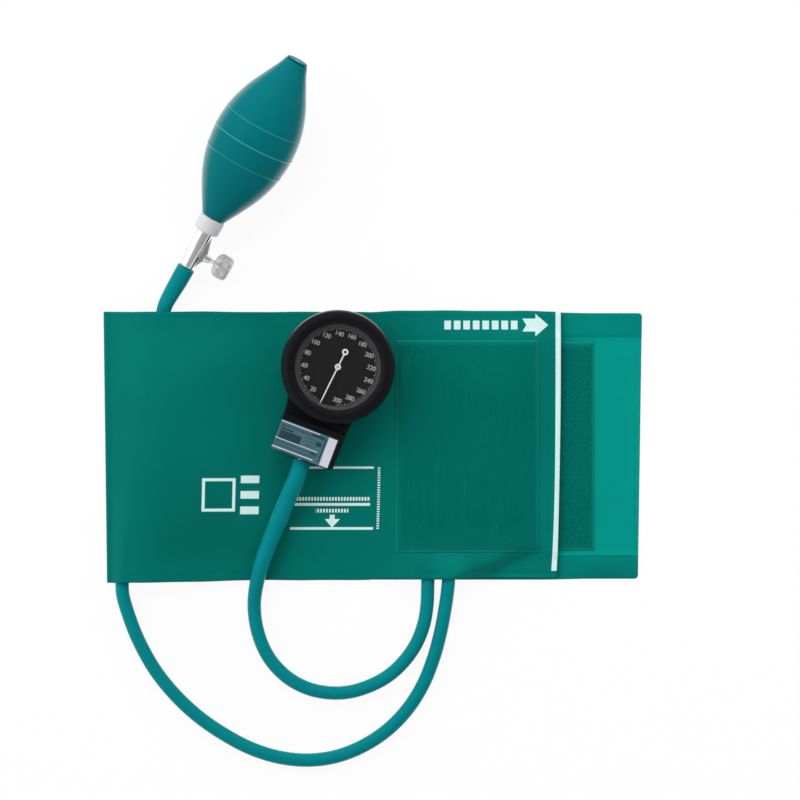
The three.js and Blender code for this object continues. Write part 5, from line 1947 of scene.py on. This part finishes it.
HOSES = (
    Hose("gauge_line", "gauge_hose", GAUGE_HOSE_ROUTE, reach=2.3, flare=1.1, flare_from=30, flare_to=92),
    Hose("bulb_line", "bulb_hose", BULB_HOSE_ROUTE, flare=1.25, flare_from=4, flare_to=36),
)


def tube(
    name: str, path: Sequence[Vector], radii: Sequence[float], sides: int, finish: Material
) -> Piece:
    """Runs a round tube along a path, with rounded ends.

    Args:
        name: the piece's name.
        path: the centre line, in millimetres.
        radii: the tube's radius at each point of the path.
        sides: facets round it.
        finish: its material.

    Returns:
        The tube.
    """
    last = len(path) - 1
    lines = [(path[min(k + 1, last)] - path[max(k - 1, 0)]).normalized() for k in range(last + 1)]
    lips = ((0.0, 0.7), (0.2, 0.2), (0.6, 0.0))
    rings = [(path[0] + lines[0] * step, lines[0], radii[0] - less) for step, less in lips]
    rings += list(zip(path[1:-1], lines[1:-1], radii[1:-1]))
    rings += [(path[-1] - lines[-1] * step, lines[-1], radii[-1] - less) for step, less in reversed(lips)]
    side = lines[0].cross(Vector((0, 0, 1))).normalized()
    points: list[Vector] = []
    for spot, line, reach in rings:
        side = (side - line * side.dot(line)).normalized()
        up = line.cross(side)
        for k in range(sides):
            turn = 2 * math.pi * k / sides
            points.append(spot + side * (reach * math.cos(turn)) + up * (reach * math.sin(turn)))
    return new_piece(name, points, loft_faces(len(rings), sides), finish)


# Gauge


@dataclass
class Gauge:
    """The gauge: a round black case on a neck block, with its dial, pointer and crystal."""

    radius: float = 30.7
    window: float = 23.1
    shoulder: float = 14.5
    lip: float = 21.7
    lip_thick: float = 1.9
    neck_right: float = 17.0
    neck_half: float = 18.6
    neck_near: float = 33.0
    neck_far: float = 53.5
    neck_bottom: float = 2.2
    neck_top: float = 12.0
    pad_top: float = 17.5
    dial_top: float = 16.7
    dial_turn: float = -18.5
    zero: float = -154.0
    step: float = 22.35
    number_radius: float = 17.9
    number_size: float = 3.5
    pointer_at: float = -174.5
    pointer_low: float = 17.5

    def ring(self) -> None:
        """Makes the front ring, a smooth rounded rim."""
        inner, foot, bulge, waist = 28.3, self.shoulder + 0.3, 4.6, 18.4
        profile = [
            (self.window, self.lip), (inner, self.lip), (inner, foot), (self.radius - 0.5, foot),
            (self.radius - 0.1, self.shoulder + 0.8),
        ]
        for k in range(22):
            turn = math.radians(lerp(-6, 96, k / 21))
            x = self.radius - bulge + bulge * math.cos(turn)
            profile.append((x, waist + (self.lip + self.lip_thick - waist) * math.sin(turn)))
        slope = (2.0, 1.72), (1.2, 1.35), (0.5, 0.8), (0.0, 0.3)
        profile += [(self.window + out, self.lip + up) for out, up in slope]
        ring = lathed("front_rim", profile, 144, CASE_PLASTIC, GAUGE_PLACE, 50)
        ride(ring, "root", "case_plastic", "gauge_front_ring")

    def case(self) -> None:
        """Makes the cup of the case, the neck block and its cap."""
        profile = [
            (0, 0), (26.5, 0), (29.0, 1.4), (30.4, 4.5), (30.8, 8), (30.6, self.shoulder),
            (28, self.shoulder), (28, 18.6), (25.5, 18.6), (25.5, 3.5), (24, 2), (0, 2),
        ]
        cup = lathed("case_cup", rounded(profile, 0.9), 144, CASE_PLASTIC, GAUGE_PLACE)
        ride(cup, "root", "case_plastic", "gauge_case")
        neck = prism(self.neck_outline(), self.neck_bottom, self.neck_top)
        cap = box_outline(-self.neck_half, -self.neck_far, self.neck_right, -self.neck_near, 2.6)
        blocks = ("neck_block", neck, 1.0), ("neck_cap", prism(cap, self.neck_top - 1, self.pad_top), 0.8)
        for name, (points, faces), rounding in blocks:
            block = new_piece(name, points, faces, CASE_PLASTIC.build(), GAUGE_PLACE)
            ride(beveled(block, rounding), "root", "case_plastic", "gauge_case")

    def neck_outline(self) -> list[Flat]:
        """Returns the neck block's outline, which flares into the round cup."""
        near, half, right, root = -self.neck_near, self.neck_half, self.neck_right, (20.6, -22.0)
        flare, cup = near + 5, 25.8
        left_root, right_root = (-root[0], root[1]), (root[0] - 2.2, root[1])
        outline = [bend(left_root, (-half, flare), (-half, near), k / 8) for k in range(9)]
        corners = box_outline(-half, -self.neck_far, right, 0, 3.0)
        outline += [spot for spot in corners[21:] if spot[1] < -30] + corners[:7]
        outline += [bend((right, near), (right, flare), right_root, k / 8) for k in range(9)]
        turns = [math.radians(angle) for angle in range(45, -46, -9)]
        return outline + [(cup * math.sin(turn), -cup * math.cos(turn)) for turn in turns]

    def label(self) -> None:
        """Makes the foil label on the neck block, with plain bars only."""
        outline = box_outline(-18.2, -53.1, 14.2, -36.6, 0.5, 3)
        points, faces = prism(outline, self.pad_top + 0.02, self.pad_top + 0.16)
        place = GAUGE_PLACE @ Matrix.Translation((-2.0, -44.85, 0))
        finish = LabelFinish(
            "foil_label", (0.060, 0.140, 0.170), 0.36, 0.3, 0.12, 0.05,
            place=place, dark_marks=LABEL_DARK, white_marks=LABEL_PALE,
        )
        piece = new_piece("neck_label", points, faces, finish.build(), GAUGE_PLACE)
        piece.data.set_sharp_from_angle(angle=math.radians(30))
        ride(piece, "root", "case_plastic")

    def scale(self) -> None:
        """Prints the scale: a grey ring, its graduations and its plain numbers."""
        low = self.dial_top
        profile = [(21.2, low), (21.2, low + 0.08), (21.35, low + 0.14), (23.6, low + 0.14), (23.6, low)]
        ride(lathed("scale_ring", profile, 128, SCALE_RING, GAUGE_PLACE, 30), "root", "dial_paint")
        base = GAUGE_PLACE.translation.z + low
        white = PRINT_WHITE.build()
        self.graduations(base, white)
        meshes = [self.number(value, base) for value in range(20, 301, 20)]
        ride(joined("dial_numbers", meshes, white), "root", "white_paint")

    def number(self, value: int, base: float) -> bpy.types.Mesh:
        """Returns one plain number of the scale.

        Args:
            value: the number.
            base: the dial's level, in millimetres.

        Returns:
            Its mesh, in metres.
        """
        text = bpy.data.curves.new(f"number_{value}", "FONT")
        text.body = str(value)
        text.size = self.number_size * MM
        text.align_x, text.align_y = "CENTER", "CENTER"
        text.extrude = 0.03 * MM
        text.space_character = 0.92
        holder = linked(text.name, text)
        bpy.context.view_layer.update()
        mesh = bpy.data.meshes.new_from_object(holder.evaluated_get(bpy.context.evaluated_depsgraph_get()))
        turn = math.radians(90 - (self.zero + self.step * value / 20))
        centre = GAUGE_PLACE.translation
        x, y = centre.x + self.number_radius * math.cos(turn), centre.y + self.number_radius * math.sin(turn)
        mesh.transform(Matrix.Translation(Vector((x, y, base + 0.05)) * MM) @ turned(self.dial_turn, "Z"))
        bpy.data.objects.remove(holder)
        return mesh

    def graduations(self, base: float, finish: Material) -> None:
        """Sets the graduations round the dial.

        Args:
            base: the dial's level, in millimetres.
            finish: the print's material.
        """
        values = {
            "Count": 151, "Long every": 5, "Radius": 20.9 * MM, "First": math.radians(90 - self.zero),
            "Step": -math.radians(self.step / 10), "Short": 0.7 * MM, "Long": 1.15 * MM,
            "Width": 0.11 * MM, "Thickness": 0.06 * MM, "Finish": finish,
        }
        piece = grown("dial_graduations", bpy.data.meshes.new("dial_graduations"), graduation_tree(), values)
        centre = GAUGE_PLACE.translation
        piece.data.transform(Matrix.Translation(Vector((centre.x, centre.y, base + 0.04)) * MM))
        ride(piece, "root", "white_paint")

    def pointer(self) -> None:
        """Makes the pointer with its hub cap and its ring tail."""
        low = self.pointer_low
        place = GAUGE_PLACE @ turned(90 - self.pointer_at, "Z")
        half, tip = 0.34, 0.14
        hand = [(1.5, -half), (18.8, -half), (21.6, -tip), (22.3, 0), (21.6, tip), (18.8, half), (1.5, half)]
        tail = [(-7.4, -half), (-1.5, -half), (-1.5, half), (-7.4, half)]
        for name, outline in (("pointer_hand", hand), ("pointer_tail", tail)):
            points, faces = prism(outline, low, low + 0.4)
            bar = new_piece(name, points, faces, POINTER_PAINT.build(), place)
            ride(beveled(bar, 0.08, 2), "pinion", "white_paint", "pointer")
        hub = [(0.85, low - 0.05), (1.7, low - 0.05), (1.7, low + 0.75), (1.5, low + 0.9), (0.85, low + 0.9)]
        hub_piece = lathed("pointer_hub", rounded(hub, 0.15), 48, POINTER_PAINT, GAUGE_PLACE)
        ride(hub_piece, "pinion", "white_paint", "pointer")
        ring = rounded([(0.8, low), (1.7, low), (1.7, low + 0.4), (0.8, low + 0.4)], 0.1)
        ring_place = place @ Matrix.Translation((-8.9, 0, 0))
        ring_piece = lathed("pointer_ring", ring, 40, POINTER_PAINT, ring_place)
        ride(ring_piece, "pinion", "white_paint", "pointer")

    def build(self) -> None:
        """Makes and dresses the gauge."""
        self.ring()
        self.case()
        self.label()
        self.scale()
        self.pointer()
        pillars = [f"movement_pillar_{k}" for k in (1, 2, 3)]
        plates = ("movement_base_plate", "movement_top_plate", "pressure_capsule", "sector_gear")
        dress(BRASS, *plates, *pillars)
        dress(STEEL, "clip_rivet_1", "clip_rivet_2", "pinion_staff", "rocker_shaft", "capsule_pad")
        dress(CRYSTAL, "crystal")
        dress(DARK_RUBBER, "crystal_gasket")
        dress(DIAL_BLACK, "dial")
        dress(CHROME, "hose_nipple")
        dress(SPRING_STEEL, "back_clip", "hairspring")


LABEL_DARK = (
    Bar(-8.6, 0.6, 6.0, 2.2),
    Bar(-2.0, 5.6, 12.0, 0.35, dash=1.7, filled=0.75),
    Bar(3.0, 3.6, 3.4, 0.25, dash=1.1, filled=0.7),
    Bar(3.0, 1.8, 3.4, 0.25, dash=1.3, filled=0.6),
    Bar(3.2, 0.0, 3.0, 0.25, dash=1.0, filled=0.7),
    Bar(-3.0, -3.4, 10.5, 0.3, dash=1.5, filled=0.7),
    Bar(-3.0, -5.2, 10.5, 0.3, dash=1.2, filled=0.65),
    Bar(10.0, 0.0, 0.35, 6.6),
    Bar(5.6, 6.2, 3.6, 0.7),
    Bar(7.2, 2.2, 1.5, 1.2),
    Bar(6.6, -3.6, 2.2, 0.8, dash=1.1, filled=0.7),
    Bar(-14.6, 0.4, 0.5, 5.8, dash=1.0, filled=0.6),
    Bar(-11.0, 3.8, 3.2, 0.5),
    Bar(-2.6, -7.6, 9.0, 0.3, dash=2.1, filled=0.7),
)
LABEL_PALE = (
    Bar(13.5, 0.0, 2.4, 7.9),
    Bar(-5.0, 7.5, 11.0, 0.25),
    Bar(-4.6, -1.9, 12.4, 0.2),
    Bar(-4.6, -6.8, 11.6, 0.3),
)


# Bulb


@dataclass
class Bulb:
    """The bulb with its collar, release valve and intake valve."""

    length: float = 96.0
    valve_length: float = 24.0
    collar_length: float = 7.0
    gap: float = 0.3
    wall: float = 2.0
    bore: float = 4.0
    line_shares: tuple[float, ...] = (0.37, 0.49, 0.61)
    line_rise: float = 0.16
    line_width: float = 0.28
    boss_at: float = 9.4
    knob_near: float = 12.2
    knob_thick: float = 9.4
    knob_radius: float = 6.8
    lobes: int = 8

    def __post_init__(self) -> None:
        """Works out where the bulb and its mould lines stand along its axis."""
        self.start = self.valve_length + self.collar_length
        self.end = self.start + self.length
        self.lines = tuple(self.start + share * self.length for share in self.line_shares)
        self.place = BULB_PLACE @ turned(90, "Y")
        self.side = BULB_PLACE @ Matrix.Translation((self.boss_at, 0, 0)) @ turned(90, "X")

    def outline(self) -> list[Flat]:
        """Returns the bulb's outer outline, front to tail, with its mould lines."""
        shares = (
            (0, 7), (0.03, 8.6), (0.12, 13.4), (0.22, 18), (0.34, 21.5), (0.5, 23), (0.63, 21.6),
            (0.76, 17.6), (0.87, 12.3), (0.95, 8.3), (1, 6.3),
        )
        first, reach = self.start + self.gap, self.length - self.gap
        spots = [(first + share * reach, radius, 0) for share, radius in shares]
        curve = []
        for spot in through(spots, 16):
            rise = sum(self.line_rise * bell(spot.x - line, self.line_width) for line in self.lines)
            curve.append((spot.y + rise, spot.x))
        fine = []
        for (r0, x0), (r1, x1) in zip(curve, curve[1:]):
            fine.append((r0, x0))
            for line in self.lines:
                for off in (-0.5, -0.25, 0, 0.25, 0.5):
                    x = line + off
                    if x0 < x < x1:
                        base = lerp(r0, r1, (x - x0) / (x1 - x0))
                        fine.append((base + self.line_rise * bell(off, self.line_width), x))
        return [*fine, curve[-1]]

    def shell(self) -> None:
        """Makes the rubber shell, hollow, with a thick lip at each end."""
        outer = self.outline()
        inner = [(max(radius - self.wall, self.bore), x) for radius, x in outer[::3]][::-1]
        inner[0] = (self.bore, self.end)
        inner[-1] = (self.bore, self.start + self.gap)
        finish = RubberFinish(
            "bulb_rubber", (0.0008, 0.148, 0.165), 0.34, 0.03, coat=1.0, patches=0.2,
            lines=self.lines, place=BULB_PLACE,
        )
        piece = lathed("bulb_skin", [*outer, *inner], 96, finish, self.place, 60)
        ride(piece, "root", "bulb_rubber", "bulb_shell")

    def collar(self) -> None:
        """Makes the plastic collar."""
        low, high, step = self.valve_length - 1.9, self.start, self.valve_length + self.gap
        profile = [
            (5.0, low), (6.2, low), (7.0, low + 0.9), (7.1, low + 5.2), (6.9, high - 0.7), (6.4, high),
            (3.7, high), (3.7, step), (5.0, step),
        ]
        piece = lathed("collar", rounded(profile, 0.5), 72, GREY_PLASTIC, self.place)
        ride(piece, "root", "grey_plastic", "bulb_collar")

    def valve(self) -> None:
        """Makes the valve body: a plated tube with a wedge-shaped boss and a gland for the screw."""
        end = self.valve_length
        profile = [
            (1.2, 0), (3.8, 0), (4.1, 0.4), (4.9, 13.2), (4.9, end), (3.4, end), (3.4, end + 13),
            (1.2, end + 13),
        ]
        body = lathed("valve_tube", rounded(profile, 0.3), 96, CHROME, self.place)
        ride(body, "root", "chrome", "valve_body")
        self.boss()
        gland = rounded([(1.5, 6.2), (3.0, 6.2), (2.6, 7.6), (2.0, 9.8), (1.5, 9.8)], 0.3)
        ride(lathed("valve_gland", gland, 40, CHROME, self.side), "root", "chrome", "valve_body")

    def boss(self) -> None:
        """Makes the wedge-shaped boss that holds the release screw, in the darker copy of the chrome that
        paints its shade.
        """
        stations = (
            (1.0, 3.6), (4.0, 4.7), (7.2, 6.4), (9.0, 7.1), (11.2, 7.0), (14.0, 6.4), (17.5, 5.5),
            (21.5, 4.6),
        )
        points: list[Point] = []
        for x, out in stations:
            half, near = (2.7 if out > 6 else 2.2), 0.8 - out
            flat = (0, -half), (near, -half), (-out, 0.8 - half), (-out, half - 0.8), (near, half), (0, half)
            points += [(x, y, z) for y, z in flat]
        faces = loft_faces(len(stations), len(points) // len(stations))
        piece = new_piece("valve_boss", points, faces, SHADED_CHROME.build(), BULB_PLACE)
        ride(beveled(piece, 0.35, 3, 20), "root", "chrome", "valve_body")

    def screw(self) -> None:
        """Makes the release screw with its thread."""
        start, end, pitch = 4.7, self.knob_near + 0.2, 0.8
        profile: list[Flat] = [(0, start)]
        z = start
        while z < end - pitch:
            profile += [(1.3, z + 0.05), (1.45, z + 0.32), (1.45, z + 0.42), (1.3, z + 0.7)]
            z += pitch
        profile += [(1.35, end), (0, end)]
        piece = lathed("threaded_stem", profile, 36, CHROME, self.side, 50)
        ride(piece, "release_knob", "chrome", "release_screw")

    def knob(self) -> None:
        """Makes the release knob: fluted near the stem, round and domed at its end."""
        near, far, radius = self.knob_near, self.knob_near + self.knob_thick, self.knob_radius

        def flutes(turn: float, height: float) -> float:
            """Returns the factor on the radius that cuts the flutes.

            Args:
                turn: the angle round the knob.
                height: the place along it.

            Returns:
                The factor.
            """
            depth = 0.30 * (1 - 0.7 * smooth((height - near - 3.8) / 4.6))
            depth *= smooth((height - near) / 1.2 + 0.3)
            wave = 0.5 - 0.5 * math.cos(self.lobes * turn)
            return 1 - depth * wave**1.6

        foot = (0, 0), (1.6, 0), (3.4, 0.05), (4.6, 0.4), (5.7, 1.1), (6.4, 2.0)
        barrel = (0, 3.0), (0, 3.8), (0, 4.8), (0.05, 5.8), (0.1, 6.6)
        profile = [(out, near + up) for out, up in foot] + [(radius - less, near + up) for less, up in barrel]
        for k in range(1, 9):
            turn = math.radians(90 * k / 8)
            profile.append((radius - 2.5 + 2.4 * math.cos(turn), far - 2.4 + 2.4 * math.sin(turn)))
        profile += [(3.0, far - 0.1), (1.5, far - 0.15), (0, far - 0.15)]
        piece = lathed("fluted_knob", profile, 192, KNOB_METAL, self.side, 70, flutes)
        ride(piece, "release_knob", "knob_metal", "release_knob")

    def intake(self) -> None:
        """Makes the intake fitting at the bulb's tail end."""
        offsets = (
            (1.3, -4), (2.6, -4), (2.6, -9), (3.7, -9), (3.7, 0), (5.9, 0), (5.8, 0.5), (5.2, 0.8),
            (2.2, 0.8), (1.9, -0.1), (1.3, -0.2),
        )
        profile = [(radius, self.end + self.gap + off) for radius, off in offsets]
        piece = lathed("intake_fitting", rounded(profile, 0.3), 64, TEAL_PLASTIC, self.place)
        ride(piece, "root", "grey_plastic", "intake_valve_body")

    def build(self) -> None:
        """Makes and dresses the bulb and its valves."""
        self.shell()
        self.collar()
        self.valve()
        self.screw()
        self.knob()
        self.intake()
        dress(STEEL, "valve_check_ball")
        dress(BRASS, "check_ball_retainer")
        dress(DARK_RUBBER, "release_tip", "intake_check_disc")
        dress(SPRING_STEEL, "intake_screen")


# Studio


@dataclass
class Studio:
    """The camera, the pale floor and the soft lamps."""

    lens: float = 190.0
    sensor: float = 36.0
    frame_width: float = 0.4328
    camera_lift: float = 0.006
    centre: Flat = (0.0146, 0.0249)
    floor_half: float = 4.0
    floor_level: float = -0.0002
    lamp_energy: float = 4.3
    world_strength: float = 0.56

    def camera(self) -> None:
        """Sets the camera straight above the object."""
        data = bpy.data.cameras.new("camera")
        data.lens, data.sensor_width, data.clip_end = self.lens, self.sensor, 20.0
        camera = linked("camera", data)
        camera.location = (*self.centre, self.lens / self.sensor * self.frame_width + self.camera_lift)
        bpy.context.scene.camera = camera

    def floor(self) -> None:
        """Lays a plain white floor that keeps the object's shadow."""
        mesh = bpy.data.meshes.new("floor")
        half, level = self.floor_half, self.floor_level
        corners = [(-half, -half, level), (half, -half, level), (half, half, level), (-half, half, level)]
        mesh.from_pydata(corners, [], [(0, 1, 2, 3)])
        material = bpy.data.materials.new("floor")
        material.use_nodes = True
        board = NodeBoard(material.node_tree)
        shader = material.node_tree.nodes["Principled BSDF"]
        shader.inputs["Base Color"].default_value = (0.90, 0.90, 0.90, 1.0)
        shader.inputs["Roughness"].default_value = 0.9
        shader.inputs["Specular IOR Level"].default_value = 0.0
        glow = board.out("ShaderNodeEmission", {"Color": (1, 1, 1, 1), "Strength": 1.0})
        rays = board.add("ShaderNodeLightPath").outputs
        seen = board.math("MAXIMUM", rays["Is Glossy Ray"], rays["Is Transmission Ray"])
        share = board.math("MULTIPLY", board.math("MAXIMUM", rays["Is Camera Ray"], seen), 0.92)
        mixed = board.out("ShaderNodeMixShader", {0: share, 1: shader.outputs[0], 2: glow})
        board.tree.links.new(mixed, board.tree.nodes["Material Output"].inputs["Surface"])
        mesh.materials.append(material)
        linked("floor", mesh)

    def lamp(self, name: str, place: Point, size: Flat, energy: float) -> None:
        """Adds a soft lamp that faces the object.

        Args:
            name: the lamp's name.
            place: where it stands, in metres.
            size: its width and height, in metres.
            energy: its power.
        """
        data = bpy.data.lights.new(name, "AREA")
        data.shape = "RECTANGLE"
        data.size, data.size_y = size
        data.energy = energy
        lamp = linked(name, data)
        lamp.location = place
        lamp.visible_glossy = False
        lamp.rotation_euler = (Vector(place) - Vector((0, 0.02, 0))).to_track_quat("Z", "Y").to_euler()

    def world(self) -> None:
        """Sets the world: white behind the object, brighter at its horizon than overhead."""
        world = bpy.data.worlds.new("world")
        bpy.context.scene.world = world
        world.use_nodes = True
        board = NodeBoard(world.node_tree)
        sky = world.node_tree.nodes["Background"]
        east, north, up = board.split(board.add("ShaderNodeTexCoord").outputs["Generated"])
        side = board.math("SUBTRACT", board.math("MULTIPLY", north, 0.48), board.math("MULTIPLY", east, 0.87))
        lean = board.math("SUBTRACT", up, board.math("MULTIPLY", side, 0.22))
        gain = board.math("ADD", 1.0, board.math("MULTIPLY", side, 0.35))
        level = board.math("MULTIPLY", board.ramp(lean, 0.62, 0.78, 1.75, 0.72), gain)
        strength = board.math("MULTIPLY", level, self.world_strength)
        seen = board.add("ShaderNodeLightPath").outputs["Is Camera Ray"]
        sky.inputs["Color"].default_value = (1, 1, 1, 1)
        board.tree.links.new(board.math("MAXIMUM", seen, strength), sky.inputs["Strength"])

    def build(self) -> None:
        """Sets up the whole studio."""
        self.camera()
        self.floor()
        self.world()
        self.lamp("left_softbox", (-1.0, 0.45, 0.95), (0.6, 1.2), self.lamp_energy)
        self.lamp("right_softbox", (1.0, 0.55, 0.95), (0.6, 1.2), self.lamp_energy * 0.8)
        self.lamp("back_softbox", (0.0, 1.05, 1.0), (1.2, 0.5), self.lamp_energy * 1.3)
        self.lamp("front_softbox", (0.1, -1.1, 1.2), (1.2, 0.5), self.lamp_energy * 0.12)
        bpy.context.scene.view_settings.view_transform = "Standard"


def main() -> None:
    """Builds the scene piece by piece."""
    logging.basicConfig(level=logging.INFO, format="%(message)s")
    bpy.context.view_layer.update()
    Studio().build()
    rubber = HOSE_RUBBER.build()
    for hose in HOSES:
        hose.build(rubber)
    Cuff().build()
    Gauge().build()
    Bulb().build()


if __name__ == "__main__":
    main()
